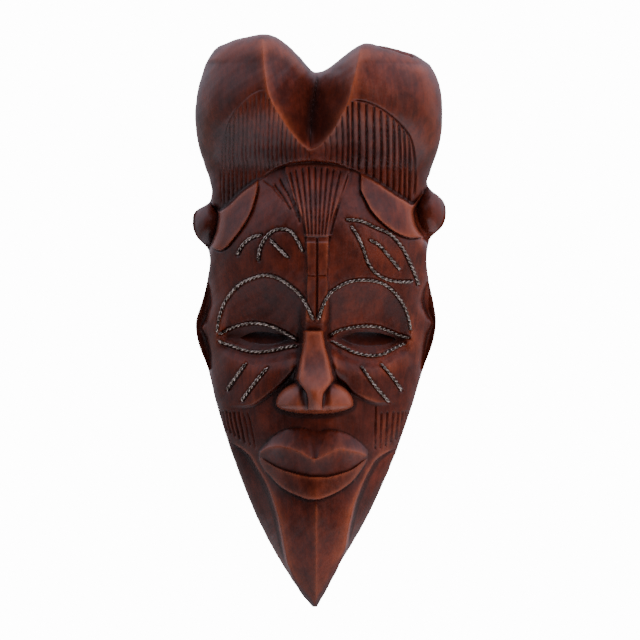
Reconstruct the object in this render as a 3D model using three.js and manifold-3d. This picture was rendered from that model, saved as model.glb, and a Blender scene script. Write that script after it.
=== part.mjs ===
// A carved wooden wall mask with twisted-wire inlays, built as the real one is put together:
// one block of hardwood, carved in front and hollowed behind; sixteen lengths of twisted wire
// bedded in chased grooves; and a ring hanger screwed into a pocket behind the crest.
//
// Millimetres, +Z up, the face looks along -Y and the flat back lies on the wall side, +Y.
// Heights are counted up from the tip of the chin, and depths forward from the flat back.
// A last group moves the origin to the point where a nail in the wall carries the raised ring.

import * as THREE from 'three';
import { mergeVertices } from 'three/addons/utils/BufferGeometryUtils.js';
import Module from 'manifold-3d';

const wasm = await Module();
wasm.setup();

// ---------------------------------------------------------------- driving dimensions

const GAP = 0.3;                  // clearance between pieces that touch
const CORNER_Z = 338;             // height where the sides of the crest turn over into its top
const GRID = [34, 3, 62];         // facets across, through and up the carved block
const HOLLOW_GRID = [12, 1, 22];  // the same for the hollow behind
const WALL = 20;                  // wood left between the front and the hollow
const HOLLOW_Z = [30, 256];       // foot and head of the hollow

const WIRE_RADIUS = 1.1;          // half of one twisted pair
const WIRE_STEP = 5.5;            // length of one straight facet of a wire
const WIRE_PROUD = 0.35;          // how far a wire's axis stands in front of the wood

const HINGE_Z = 310;              // height of the hanger's hinge
const POCKET = { depth: 7.5, halfWidth: 12, above: 14, below: 32 };
const BORE_RADIUS = 1.4;          // barrel of the strap
const SHEET = 1.2;                // thickness of the strap
const STRAP = { width: 9, length: 29 };
const RING = { radius: 1, halfWidth: 7, leg: 3 };
const SCREW = { drops: [15, 24], headRadius: 2.9, headHeight: 1.6, shankRadius: 1.2, length: 13 };

const BARREL_RADIUS = BORE_RADIUS + SHEET;
const HINGE_Y = -POCKET.depth + GAP + BARREL_RADIUS;
const HOOK_Z = HINGE_Z + RING.leg + RING.halfWidth - RING.radius;

// ---------------------------------------------------------------- small helpers

const clamp = THREE.MathUtils.clamp;
const mix = THREE.MathUtils.lerp;

// A smooth step from 0 at a to 1 at b; a may be the larger of the two.
function ease(a, b, t) {
  const u = clamp((t - a) / (b - a), 0, 1);
  return u * u * (3 - 2 * u);
}

// A smooth curve through [position, value] pairs, held level past both ends.
function through(pairs) {
  const spline = new THREE.CubicInterpolant(pairs.map((p) => p[0]), pairs.map((p) => p[1]), 1);
  const first = pairs[0][0];
  const last = pairs[pairs.length - 1][0];
  return (t) => spline.evaluate(clamp(t, first, last))[0];
}

// A half ellipsoid of height 1.
function dome(x, z, [cx, cz], [rx, rz]) {
  return Math.sqrt(Math.max(0, 1 - ((x - cx) / rx) ** 2 - ((z - cz) / rz) ** 2));
}

// ---------------------------------------------------------------- outline of the block

const left = through([[0, -2.4], [10, -10.5], [23, -19.2], [54, -36], [91, -50.8], [128, -62.6],
  [150, -68], [165, -73.6], [178, -75], [190, -71.3], [203, -68], [219, -66.4], [223, -67.4],
  [231, -74.5], [240, -77], [248, -74], [252, -67], [256, -65.3], [266, -66.6], [277, -70],
  [290, -73.8], [308, -75.2], [322, -73.6], [332, -71], [CORNER_Z, -69]]);
const right = through([[0, 0.6], [10, 6.2], [23, 13], [54, 31], [91, 47.7], [128, 60.8],
  [150, 67.5], [165, 73], [178, 75], [190, 73.4], [203, 70.6], [226, 70], [230, 71.4],
  [237, 78.5], [246, 81.2], [254, 79], [260, 72], [264, 69.4], [271, 71.3], [290, 77.3],
  [308, 78.8], [322, 77.6], [332, 74.6], [CORNER_Z, 71]]);
// The flat back is narrower: the knobs and ears stand clear of the wall.
const backLeft = through([[0, -2.2], [10, -9], [23, -17], [54, -32.5], [91, -46.5], [128, -57.5],
  [165, -62.5], [203, -62.5], [240, -61.5], [266, -62.5], [290, -69.5], [308, -71], [CORNER_Z, -66]]);
const backRight = through([[0, 0.5], [10, 5], [23, 11], [54, 27.5], [91, 43.5], [128, 55.5],
  [165, 63], [203, 65], [240, 65], [266, 65.5], [290, 73], [308, 74.5], [CORNER_Z, 68]]);
// The face and the crest end at these lines; the ears and knobs lie lower, outside them.
const faceLeft = through([[0, -2.4], [10, -10.5], [23, -19.2], [54, -36], [91, -50.8], [128, -62.6],
  [142, -65.4], [160, -66.3], [168, -69.2], [174.2, -71.4], [181, -68.4], [189, -65.9], [203, -67.4],
  [216, -66.6], [226, -65], [235, -61.6], [244, -60.3], [252, -64.4], [266, -66.6], [277, -70],
  [290, -73.8], [308, -75.2], [322, -73.6], [332, -71], [CORNER_Z, -69]]);
const faceRight = through([[0, 0.6], [10, 6.2], [23, 13], [54, 31], [91, 47.7], [128, 60.8],
  [142, 65], [160, 67.2], [170, 69.8], [177.3, 72.6], [184, 68.4], [190, 66.4], [206, 70.2],
  [224, 69.8], [236, 62.6], [246, 60.2], [258, 66.6], [264, 69.4], [271, 71.3], [290, 77.3],
  [308, 78.8], [322, 77.6], [332, 74.6], [CORNER_Z, 71]]);
const top = through([[-69, CORNER_Z], [-64.5, 345.5], [-55, 351.4], [-44, 354.3], [-34, 356],
  [-27, 355.6], [-20, 351.6], [-10, 342.4], [-1, 333.6], [3, 333.6], [15, 341], [25, 348.3],
  [30, 350.2], [40, 349], [54, 346], [64.5, 342.3], [71, CORNER_Z]]);

// Share of the height that each share of the rows reaches: they lie closest over the face.
const rowHeight = through([[0, 0], [0.2, 0.3], [0.68, 0.63], [0.86, 0.855], [1, 1]]);

// Where a grid point (across from -1 to 1, up from 0 to 1) lies in the outline. Columns lie
// closest at the nose. Rows bend towards the top, and the last one follows the notch.
function plan(across, up, [leftLine, rightLine] = [left, right]) {
  const share = rowHeight(up);
  const z = CORNER_Z * share;
  const x = mix(leftLine(z), rightLine(z), (across * (0.78 + 0.22 * across ** 2) + 1) / 2);
  return [x, z + ease(0.7, 1, share) * (top(x) - CORNER_Z)];
}

// ---------------------------------------------------------------- lines drawn on the block

const hairline = through([[-66, 253], [-60.5, 246.4], [-47.7, 256.7], [-34.7, 266.6], [-22.3, 273.4],
  [-6.8, 276.5], [1.2, 276.5], [11.2, 275.3], [21.7, 272.2], [34.1, 266.6], [46.5, 258.5],
  [60.5, 250.6], [67, 258.4]]);
const CHANNEL_FOOT = 282.7;
const channelLeft = through([[CHANNEL_FOOT, -3.1], [293, -13.5], [305, -22.3], [317, -29],
  [331, -31.2], [356, -33.5]]);
const channelRight = through([[CHANNEL_FOOT, -3.1], [295, 9.8], [306, 15.8], [315, 20.8],
  [325, 23.8], [336, 26.4], [350, 28.5]]);
const crease = through([[CHANNEL_FOOT, -3.1], [300, -1.2], [334, 1]]);

const jawLeft = through([[14, -12.5], [25, -16.7], [46, -21.2], [57, -23.4], [68, -26.7],
  [79, -31.2], [88, -36.7], [96, -42.2], [103.5, -54], [107, -62]]);
const jawRight = through([[12, 7.6], [33, 17], [53, 20.8], [64, 23.6], [77, 28.5],
  [86, 33], [93.6, 38.6], [99, 48.5], [104, 57]]);

const lappetLeft = through([[-64, 222], [-59.8, 221.3], [-56, 223.2], [-50.5, 229.4],
  [-44.9, 237.1], [-39.9, 246.4], [-37.2, 255.3], [-35.5, 263.6]]);
const lappetRight = through([[26.8, 260.4], [30.1, 253.6], [33.5, 247], [39, 240.4],
  [45.6, 234.9], [51.2, 231.5], [57.8, 229.4], [66, 229.8]]);

const foldLeft = through([[-44, 125], [-36.6, 129], [-28.3, 135.5], [-20, 143.3], [-16, 151]]);
const foldRight = through([[9.5, 156], [12.4, 148.2], [16.9, 141.6], [21.9, 136.1],
  [27.4, 131.7], [38, 125.5]]);

const lipTop = through([[-35.4, 97.3], [-27, 106.2], [-18.8, 110.9], [-9.9, 111.7], [0, 110],
  [8.7, 110.6], [18.6, 108.5], [27.3, 102.9], [32.2, 98]]);
const lipPeak = through([[-35.4, 96.6], [-30.4, 99.6], [-24.3, 100.9], [-17.7, 100.1],
  [-9.9, 97.3], [-1.1, 93.2], [6.7, 96.2], [14.4, 99.3], [20, 98.5], [28.3, 96.2], [32.2, 94.5]]);
const lipPart = through([[-35.4, 94], [-22.6, 86.8], [-14.3, 84.1], [-1.1, 81.6], [6.7, 81.8],
  [14.4, 83.5], [22.8, 86.6], [32.2, 93.5]]);
const lipFoot = through([[-35.4, 92], [-33.7, 88.6], [-28.8, 82.5], [-21.5, 75.2],
  [-13.3, 70.7], [-5.6, 68], [1.2, 67.7], [8.9, 70.2], [17.2, 74.6], [24.4, 80.7], [32.2, 92]]);
const LIPS = { left: -35.4, right: 32.2 };

const EYES = [
  { corners: [-61.5, -9], socket: [[-63, -54], [-1, -9]],
    brow: through([[-61.5, 171], [-59.4, 177.5], [-56, 187.5], [-51, 197.4], [-44.5, 203.5],
      [-36.7, 206.3], [-29, 206.6], [-21.2, 204], [-14.6, 199.6], [-7.9, 191.9], [-2.9, 183]]),
    upper: through([[-61.5, 168.4], [-50.5, 174.3], [-37.2, 177], [-29.9, 176], [-18.4, 169.9],
      [-9, 165]]),
    lower: through([[-61.5, 167.4], [-50.5, 162.7], [-37.2, 158.8], [-31.1, 158.6],
      [-18.4, 162.1], [-9, 164.4]]) },
  { corners: [7, 59.5], socket: [[1, 8], [61.5, 52]],
    brow: through([[2, 180], [4.3, 185.3], [7, 191], [12.6, 198.5], [18.6, 201.9], [25.3, 203.7],
      [34.1, 204], [41.9, 201.9], [48.5, 197.4], [54.1, 189.7], [58, 180.8], [59.5, 171]]),
    upper: through([[7, 168], [20.8, 173.9], [34.6, 175.5], [49.5, 171], [59.5, 166.8]]),
    lower: through([[7, 166.6], [16.3, 161.6], [27, 157.8], [35.7, 156.6], [42.3, 157.7],
      [49.5, 160.5], [59.5, 165.4]]) },
];

// Outlines of the two slits cut right through under the upper lids.
const SLITS = [
  [[-47, 168], [-39.4, 171.3], [-28.5, 171], [-16.7, 166.6], [-22.8, 164.6], [-31, 163.6],
    [-39.4, 164.8]],
  [[14, 167.2], [24.2, 171.2], [33, 171.6], [42.8, 170], [50, 166.6], [43.4, 164.2],
    [35.7, 163], [24.2, 163.8]],
];

// Heights of the centre line of each form, in depth forward from the back.
const faceLine = through([[0, 22], [12, 31], [30, 42], [50, 51], [68, 55], [90, 56], [112, 57],
  [140, 56], [160, 57], [177, 61], [195, 66], [212, 71], [228, 73], [243, 70], [258, 63],
  [277, 53], [300, 50]]);
const crestLine = through([[240, 52], [262, 56], [276, 60], [290, 73], [305, 84], [318, 88],
  [335, 86], [356, 79]]);
const creaseLine = through([[CHANNEL_FOOT, 66], [300, 58], [334, 49]]);
const noseLine = through([[121, 21], [127, 26], [134, 27.5], [143, 22.5], [150, 18], [165, 9],
  [173, 4.5]]);
const noseMiddle = through([[121, -0.6], [143, -0.5], [162, -1.4], [173, -2]]);
const noseHalf = through([[121, 5.2], [131, 5.4], [135.5, 7], [138.5, 9.6], [142, 11.8], [147, 11.2],
  [153, 9.8], [162, 7.4], [173, 5.6]]);

// ---------------------------------------------------------------- the carved front

// How far across the block a point lies: 0 on the centre line, 1 at the outline.
function reach(x, z) {
  return clamp(x < 0 ? x / left(z) : x / right(z), 0, 1);
}

// The two lobes of the crest with the channel sunk between them.
function crestDepth(x, z) {
  const lobe = (u) => crestLine(z) * (1 - 0.42 * reach(u, z) ** 2.4);
  const [a, b, middle] = [channelLeft(z), channelRight(z), crease(z)];
  if (z <= CHANNEL_FOOT || x <= a || x >= b) return lobe(x);
  const share = x < middle ? (middle - x) / (middle - a) : (x - middle) / (b - middle);
  return mix(Math.min(creaseLine(z), lobe(middle)), lobe(x < middle ? a : b), share);
}

// The long face, from the keel of the chin to the forehead, before its features.
function faceBlock(x, z) {
  const round = faceLine(z) * (1 - mix(0.6, 0.48, ease(190, 230, z)) * reach(x, z) ** 2.2);
  const keel = faceLine(z) + 5 - 0.5 * Math.abs(x);
  return mix(keel, round, ease(55, 84, z));
}

// Recessed panels on both sides of the chin, outside the jaw lines.
function jawDepth(x, z) {
  const line = x < 0 ? jawLeft(z) : jawRight(z);
  const rim = x < 0 ? left(z) : right(z);
  const share = clamp((x - line) / (rim - line), 0, 1);
  if (z > 107 || Math.abs(x) <= Math.abs(line)) return faceBlock(x, z);
  const step = 4 * ease(0, 2, Math.abs(x - line)) + 2 * Math.sin(Math.PI * share);
  return mix(faceBlock(line, z), 17, share) - step;
}

// Each eye sunk under its brow, with lids that slope in to the slit like a funnel.
function eyeRelief(x, z) {
  let lift = 0;
  for (const { corners: [a, b], socket: [outer, inner], brow, upper, lower } of EYES) {
    const lateral = ease(...outer, x) * ease(...inner, x);
    const [high, lidTop, lidFoot] = [brow(x), upper(x), lower(x)];
    if (z >= high) continue;
    if (z > lidTop) lift -= 7.5 * lateral * (1 - ((z - lidTop) / (high - lidTop)) ** 1.7);
    else if (z > lidFoot) {
      const between = (z - lidFoot) / (lidTop - lidFoot);
      const taper = ease(a, a + 14, x) * ease(b, b - 12, x);
      lift -= lateral * (mix(4, 7.5, between) + 4.5 * taper * Math.sin(Math.PI * between));
    } else lift -= 4 * lateral * ease(lidFoot - 14, lidFoot, z);
  }
  return lift;
}

// The nose: a straight ridge that starts abruptly between the eyes and flares like an arrowhead
// over two rounded wings.
function noseRelief(x, z) {
  const ends = ease(173, 171.6, z) * ease(120.5, 123.5, z);
  const away = Math.abs(x - noseMiddle(z)) / noseHalf(z);
  const crown = (1 - 0.16 * Math.min(away, 1) ** 2) * ease(1.35, 0.85, away);
  const flank = 0.3 * ease(2.2, 1, away) * ease(138, 152, z) * ease(172, 160, z);
  const wing = dome(x, z, [-0.8, 127], [24.2, z > 127 ? 15.5 : 6.5]);
  const cleft = 1 - 0.5 * ease(6, 0, Math.abs(Math.abs(x + 0.8) - 6));
  return Math.max(noseLine(z) * Math.max(crown, flank) * ends, 19 * Math.sqrt(wing) * cleft);
}

// The lips: the skin rises to a peaked edge, falls in to the parting, and swells again below.
function mouthRelief(x, z) {
  if (x <= LIPS.left || x >= LIPS.right) return 0;
  const [high, peak, part, foot] = [lipTop(x), lipPeak(x), lipPart(x), lipFoot(x)];
  const span = (x - (LIPS.left + LIPS.right) / 2) / ((LIPS.right - LIPS.left) / 2);
  const size = Math.sqrt(Math.max(0, 1 - span * span));
  if (z > high || z < foot) return 0;
  if (z > peak) return size * mix(9, 0, (z - peak) / (high - peak));
  if (z > part) return size * mix(4, 9, ((z - part) / (peak - part)) ** 1.3);
  return size * mix(3, 6, Math.sqrt((z - foot) / (part - foot)));
}

// Cheeks rolled up over the folds that run down from the nose.
function cheekRelief(x, z) {
  const above = z - (x < 0 ? foldLeft(x) : foldRight(x));
  const lateral = x < 0 ? ease(-50, -40, x) * ease(-11, -17, x) : ease(45, 35, x) * ease(8, 12, x);
  return 3.4 * lateral * ease(0, 2.5, above) * ease(26, 7, above);
}

// Flat leaf-shaped flaps laid over the temples, under the hairline.
function lappetRelief(x, z) {
  const above = x < 0 ? z - lappetLeft(x) : z - lappetRight(x);
  const lateral = x < 0 ? ease(-35.5, -37, x) : ease(26.8, 28.4, x);
  return 2.6 * lateral * ease(0, 1.4, above);
}

// The band of hair that runs down the forehead into two bars between the brows.
function bandRelief(x, z) {
  const half = z > 231 ? mix(7, 20, ease(231, 272, z)) : mix(1.5, 6.6, ease(177, 207, z));
  return 1.8 * ease(half + 1, half - 0.6, Math.abs(x - 0.8)) * ease(177, 182, z);
}

// Outside the face: the ears with their raised rims, and the round knobs under the crest.
function outsideDepth(x, z, shelf) {
  const beyond = Math.max(faceLeft(z) - x, x - faceRight(z));
  const width = x < 0 ? faceLeft(z) - left(z) : right(z) - faceRight(z);
  const share = clamp(beyond / Math.max(width, 0.5), 0, 1);
  const wide = ease(0.3, 1.6, width);
  const inKnob = x < 0 ? ease(221, 226, z) * ease(257, 252, z) : ease(228, 233, z) * ease(266, 260, z);
  const rim = z > 148 && z < 203 ? 5.5 * ease(0.15, 0.8, share) - 2 * ease(0.8, 1, share) : 0;
  const low = shelf - mix(7.5, 16, inKnob) * ease(0, 1.6, beyond) * wide + rim * wide;
  const knobs = Math.max(dome(x, z, [-66.5, 238.5], [11.5, 16]), dome(x, z, [70, 246], [12, 17]));
  return Math.max(low, knobs > 0 ? 12 + 22 * knobs : 0);
}

// Depth of the carved front at a point of the outline.
function relief(x, z) {
  const edge = Math.max(0, Math.min(x - faceLeft(z), faceRight(z) - x, top(x) - z));
  const face = jawDepth(x, z) + eyeRelief(x, z) + noseRelief(x, z) + mouthRelief(x, z)
    + cheekRelief(x, z) + lappetRelief(x, z) + bandRelief(x, z);
  const above = z - hairline(x);
  const round = mix(5, 12, ease(255, 275, z));
  const inset = 1 - Math.min(edge / round, 1);
  const depth = mix(face, crestDepth(x, z), ease(-0.6, 1.4, above))
    - round * (1 - Math.sqrt(1 - inset * inset));
  return x < faceLeft(z) || x > faceRight(z) ? outsideDepth(x, z, depth) : depth;
}

// ---------------------------------------------------------------- the hollow behind

const hollowHalf = through([[HOLLOW_Z[0], 7], [36, 12], [60, 21], [95, 36], [130, 47], [165, 54],
  [200, 55], [232, 51], [250, 40], [HOLLOW_Z[1], 28]]);

function hollowDepth(x, z) {
  const share = Math.abs(x) / hollowHalf(z);
  const ends = ease(HOLLOW_Z[0] - 6, 60, z) * ease(HOLLOW_Z[1] + 8, 225, z);
  return Math.max(3, (faceLine(z) - WALL) * (1 - 0.85 * share ** 2.6) * ends);
}

// ---------------------------------------------------------------- solids and booleans

function solid(geometry) {
  geometry.deleteAttribute('normal');
  geometry.deleteAttribute('uv');
  const merged = mergeVertices(geometry, 1e-4);
  const mesh = new wasm.Mesh({
    numProp: 3,
    vertProperties: merged.attributes.position.array,
    triVerts: Uint32Array.from(merged.index.array),
  });
  return new wasm.Manifold(mesh);
}

function geometryOf(manifold) {
  const { vertProperties, triVerts } = manifold.getMesh();
  const geometry = new THREE.BufferGeometry();
  geometry.setAttribute('position', new THREE.BufferAttribute(vertProperties, 3));
  geometry.setIndex(new THREE.BufferAttribute(triVerts, 1));
  return geometry;
}

// A box whose points are moved by shape(across, up, forward), each share running as named.
function shapedBox([columns, layers, rows], shape) {
  const box = new THREE.BoxGeometry(2, 1, 1, columns, layers, rows);
  const points = box.attributes.position;
  for (let i = 0; i < points.count; i += 1) {
    const [x, y, z] = shape(points.getX(i), points.getZ(i) + 0.5, 0.5 - points.getY(i));
    points.setXYZ(i, x, y, z);
  }
  return box;
}

function carvedBlock() {
  return shapedBox(GRID, (across, up, forward) => {
    const [x, z] = plan(across, up);
    const [backX] = plan(across, up, [backLeft, backRight]);
    return [mix(backX, x, 1 - (1 - forward) ** 3), -forward * relief(x, z), z];
  });
}

function hollow() {
  return solid(shapedBox(HOLLOW_GRID, (across, up, forward) => {
    const z = mix(HOLLOW_Z[0], HOLLOW_Z[1], up);
    const x = across * hollowHalf(z);
    return [x, forward > 0.5 ? -hollowDepth(x, z) : 5, z];
  }));
}

// A prism with the slit's outline, from inside the hollow out past the lids.
function slitCutter(points) {
  const loop = new THREE.CatmullRomCurve3(points.map(([x, z]) => new THREE.Vector3(x, z, 0)), true);
  const outline = new THREE.Shape(loop.getSpacedPoints(20).slice(0, -1));
  const prism = new THREE.ExtrudeGeometry(outline, { depth: 70, bevelEnabled: false });
  prism.rotateX(Math.PI / 2);
  prism.translate(0, -12, 0);
  return solid(prism);
}

function boxCutter(size, centre) {
  const box = new THREE.BoxGeometry(...size);
  box.translate(...centre);
  return solid(box);
}

function pocketCutter() {
  const { depth, halfWidth, above, below } = POCKET;
  const z = HINGE_Z + (above - below) / 2;
  return boxCutter([2 * halfWidth, depth + 5, above + below], [0, (5 - depth) / 2, z]);
}

// A straight hole along Y, as wide as the screw's shank and its clearance.
function screwHole(z, length) {
  const hole = new THREE.CylinderGeometry(SCREW.shankRadius + GAP, SCREW.shankRadius + GAP, length, 12);
  hole.translate(0, -POCKET.depth - length / 2 + 3, z);
  return solid(hole);
}

// ---------------------------------------------------------------- the twisted wires

// Each wire: its name and the points that its route passes, across and up.
const WIRES = [
  ['brow_wire_left', [[-61.7, 172.6], [-60.1, 180.4], [-57, 189.1], [-52.4, 195.9], [-46.5, 201.5],
    [-39.1, 205], [-30.4, 206.8], [-22.9, 204.6], [-16.1, 200.3], [-10.2, 195], [-5.3, 187.2],
    [-1.8, 180]]],
  ['brow_wire_right', [[1.9, 180], [4.7, 188.5], [8.1, 195], [14, 199.6], [20.4, 202.7], [30, 203.9],
    [38.4, 202.8], [44.6, 199.9], [49.9, 195], [54.6, 188], [57.4, 180.8], [59.1, 172.4]]],
  ['eye_wire_left_upper', [[-60.4, 170], [-55.2, 172.7], [-47.7, 175.6], [-39.7, 177.1], [-31, 176.2],
    [-22.3, 172.8], [-14.3, 168.3], [-11.8, 166.6]]],
  ['eye_wire_left_lower', [[-60.6, 165.8], [-53.9, 163.4], [-45.3, 160.4], [-36.6, 159],
    [-27.9, 159.8], [-19.2, 161.8], [-11.8, 163.1]]],
  ['eye_wire_right_upper', [[8.6, 169.2], [13.6, 172.2], [21.1, 174.2], [29.8, 175.4], [38.4, 174.8],
    [46.5, 172], [53.9, 169], [57.7, 167.8]]],
  ['eye_wire_right_lower', [[9.6, 165.9], [15.5, 162.8], [24.2, 158.7], [32.9, 156.9], [40.9, 157.5],
    [48.4, 161], [55.2, 164.6]]],
  ['cheek_wire_left_outer', [[-43.4, 152.2], [-50.2, 142.6], [-55.5, 135.2]]],
  ['cheek_wire_left_inner', [[-30.1, 149.4], [-37.2, 140.7], [-46.2, 128.7]]],
  ['cheek_wire_right_inner', [[27.9, 150.4], [35.3, 139.8], [45.6, 127.7]]],
  ['cheek_wire_right_outer', [[40, 151.9], [45.9, 145.4], [53.6, 134.9]]],
  ['leaf_wire_upper', [[18.9, 241.1], [27.3, 240.3], [36.6, 236.3], [45.9, 232.2], [52.7, 224.8],
    [59.5, 212], [63.6, 201.6]]],
  ['leaf_wire_lower', [[21.7, 236.6], [25.7, 231], [29.5, 222.3], [32, 214.8], [36.9, 208.3],
    [43.4, 204.5], [52, 202.9], [60.2, 202.8]]],
  ['leaf_wire_middle', [[33.2, 228.5], [37.8, 226.3], [44, 219.8], [52.4, 209.9]]],
  ['branch_wire_outer', [[-48.8, 219.3], [-44.6, 226.3], [-38.8, 230.4], [-34.6, 231.4]]],
  ['branch_wire_long', [[-35.8, 215.8], [-34.4, 223.6], [-31.3, 229.7], [-24.5, 234.8],
    [-16.7, 234.4], [-10.9, 227.2], [-8.1, 221.3]]],
  ['branch_wire_short', [[-28, 228.3], [-24.8, 225.1], [-17.1, 217.4]]],
];

const uncut = new THREE.Mesh(carvedBlock());
const plumb = new THREE.Raycaster();

// The point of the uncut front straight behind (x, z), moved forward by a wire's stand.
function onWood(x, z) {
  plumb.set(new THREE.Vector3(x, -200, z), new THREE.Vector3(0, 1, 0));
  const [hit] = plumb.intersectObject(uncut);
  return hit.point.setY(hit.point.y - WIRE_PROUD);
}

// A round bar that follows a wire's route on the wood; longer than the wire where it cuts.
function wireTube(route, radius, overrun) {
  const flat = new THREE.CatmullRomCurve3(route.map(([x, z]) => new THREE.Vector3(x, 0, z)));
  const steps = Math.ceil(flat.getLength() / WIRE_STEP);
  const points = flat.getSpacedPoints(steps).map((p) => onWood(p.x, p.z));
  const start = points[0].clone().sub(points[1]).setLength(overrun).add(points[0]);
  const end = points[steps].clone().sub(points[steps - 1]).setLength(overrun).add(points[steps]);
  points[0] = start;
  points[steps] = end;
  const section = new THREE.Shape();
  for (let k = 0; k < 6; k += 1) {
    const turn = (k + 0.5) * (Math.PI / 3);
    section[k ? 'lineTo' : 'moveTo'](radius * Math.cos(turn), radius * Math.sin(turn));
  }
  section.closePath();
  const extrudePath = new THREE.CatmullRomCurve3(points);
  return new THREE.ExtrudeGeometry(section, { steps, extrudePath });
}

// ---------------------------------------------------------------- the hanger

// A strap of sheet folded round the ring's bar, drawn in profile and extruded across.
function strapGeometry() {
  const inside = -BARREL_RADIUS + SHEET;
  const meet = Math.sqrt(BARREL_RADIUS ** 2 - inside ** 2);
  const profile = new THREE.Shape();
  profile.moveTo(-BARREL_RADIUS, 0);
  profile.lineTo(-BARREL_RADIUS, -STRAP.length);
  profile.lineTo(inside, -STRAP.length);
  profile.lineTo(inside, -meet);
  profile.absarc(0, 0, BARREL_RADIUS, Math.atan2(-meet, inside), Math.PI, false);
  const bore = new THREE.Path();
  bore.absarc(0, 0, BORE_RADIUS, 0, 2 * Math.PI, false);
  profile.holes.push(bore);
  const across = { depth: STRAP.width, bevelEnabled: false, curveSegments: 10 };
  const strap = new THREE.ExtrudeGeometry(profile, across);
  const [x, y, z] = [new THREE.Vector3(1, 0, 0), new THREE.Vector3(0, 1, 0), new THREE.Vector3(0, 0, 1)];
  strap.translate(0, 0, -STRAP.width / 2);
  strap.applyMatrix4(new THREE.Matrix4().makeBasis(y, z, x));
  strap.translate(0, HINGE_Y, HINGE_Z);
  let body = solid(strap);
  for (const drop of SCREW.drops) body = body.subtract(screwHole(HINGE_Z - drop, 12));
  return geometryOf(body);
}

// A D-shaped ring of bent wire. Its two ends butt together inside the strap's barrel.
function ringGeometry() {
  const { radius, halfWidth, leg } = RING;
  const half = [[0.2, 0], [2.8, 0], [5.2, -0.05], [6.6, -0.7], [halfWidth, -2], [halfWidth, -leg]];
  for (let k = 1; k < 5; k += 1) {
    const turn = (k * Math.PI) / 10;
    half.push([halfWidth * Math.cos(turn), -leg - halfWidth * Math.sin(turn)]);
  }
  const crown = [[0, -leg - halfWidth]];
  const mirrored = half.map(([x, z]) => [-x, z]).reverse();
  const points = [...half, ...crown, ...mirrored].map(([x, z]) => new THREE.Vector3(x, 0, z));
  const section = new THREE.Shape();
  section.absarc(0, 0, radius, 0, 2 * Math.PI, false);
  const extrudePath = new THREE.CatmullRomCurve3(points);
  return new THREE.ExtrudeGeometry(section, { steps: 40, curveSegments: 4, extrudePath });
}

// A slotted pan-head wood screw, its point towards -Y.
function screwGeometry() {
  const { headRadius, headHeight, shankRadius, length } = SCREW;
  const profile = [[0, -length], [shankRadius, -length + 4], [shankRadius, 0], [headRadius, 0],
    [headRadius, headHeight * 0.4], [headRadius * 0.7, headHeight * 0.85], [0, headHeight]];
  const turned = new THREE.LatheGeometry(profile.map(([r, y]) => new THREE.Vector2(r, y)), 16);
  const slot = boxCutter([2 * headRadius + 1, 0.9, 0.8], [0, headHeight, 0]);
  return geometryOf(solid(turned).subtract(slot));
}

// ---------------------------------------------------------------- materials

function finish(color, roughness, metalness) {
  return () => new THREE.MeshStandardMaterial({ color, roughness, metalness });
}
const wood = finish('#5a342b', 0.5, 0);
const wire = finish('#8d8983', 0.35, 1);
const plated = finish('#a9a59b', 0.35, 1);
const screwSteel = finish('#8f8a80', 0.4, 1);

// ---------------------------------------------------------------- assembly

const mask = new THREE.Group();

function place(name, geometry, material, [x, y, z] = [0, 0, 0]) {
  const mesh = new THREE.Mesh(geometry, material());
  mesh.name = name;
  mesh.position.set(x, y, z);
  mask.add(mesh);
}

let block = solid(carvedBlock()).subtract(hollow()).subtract(pocketCutter());
for (const slit of SLITS) block = block.subtract(slitCutter(slit));
for (const drop of SCREW.drops) block = block.subtract(screwHole(HINGE_Z - drop, SCREW.length + 3));
for (const [, route] of WIRES) block = block.subtract(solid(wireTube(route, WIRE_RADIUS + 2 * GAP, GAP)));
place('mask_body', geometryOf(block), wood);

for (const [name, route] of WIRES) place(name, wireTube(route, WIRE_RADIUS, -GAP), wire);

place('hanger_strap', strapGeometry(), plated);
place('hanger_ring', ringGeometry(), plated, [0, HINGE_Y, HINGE_Z]);
const seat = -POCKET.depth + GAP + SHEET + GAP;
['hanger_screw_upper', 'hanger_screw_lower'].forEach((name, k) => {
  place(name, screwGeometry(), screwSteel, [0, seat, HINGE_Z - SCREW.drops[k]]);
});

const group = new THREE.Group();
mask.position.set(0, -HINGE_Y, -HOOK_Z);
group.add(mask);

export default group;
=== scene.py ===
# A carved wooden wall mask with twisted-wire inlays and a ring hanger let into its back.
# Heights are counted up from the tip of the beard and depths forward from the flat back, both in
# millimetres; across, the middle of the face is nought and the viewer's right is positive.

import math

import bmesh
import bpy
import numpy as np
from mathutils import Matrix, Vector


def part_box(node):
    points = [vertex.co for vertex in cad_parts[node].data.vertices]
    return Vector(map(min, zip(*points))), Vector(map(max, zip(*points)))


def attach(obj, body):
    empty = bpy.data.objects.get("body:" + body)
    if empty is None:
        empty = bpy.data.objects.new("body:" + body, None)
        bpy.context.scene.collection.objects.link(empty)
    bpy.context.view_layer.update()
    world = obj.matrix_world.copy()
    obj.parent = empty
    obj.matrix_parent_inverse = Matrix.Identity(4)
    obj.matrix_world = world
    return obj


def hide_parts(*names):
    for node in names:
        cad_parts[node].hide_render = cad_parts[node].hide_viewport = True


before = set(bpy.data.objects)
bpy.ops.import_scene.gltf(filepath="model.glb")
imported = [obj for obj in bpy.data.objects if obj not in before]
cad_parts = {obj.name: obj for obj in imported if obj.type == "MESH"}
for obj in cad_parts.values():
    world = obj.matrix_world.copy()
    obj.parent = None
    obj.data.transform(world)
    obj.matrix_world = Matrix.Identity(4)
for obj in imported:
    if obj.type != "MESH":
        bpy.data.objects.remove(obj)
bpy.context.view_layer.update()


# ---------------------------------------------------------------- camera
# The mask is seen squarely from the front, from five metres away through a long lens, so that
# the crest, which stands well forward, keeps the scale of the rest.

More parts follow.
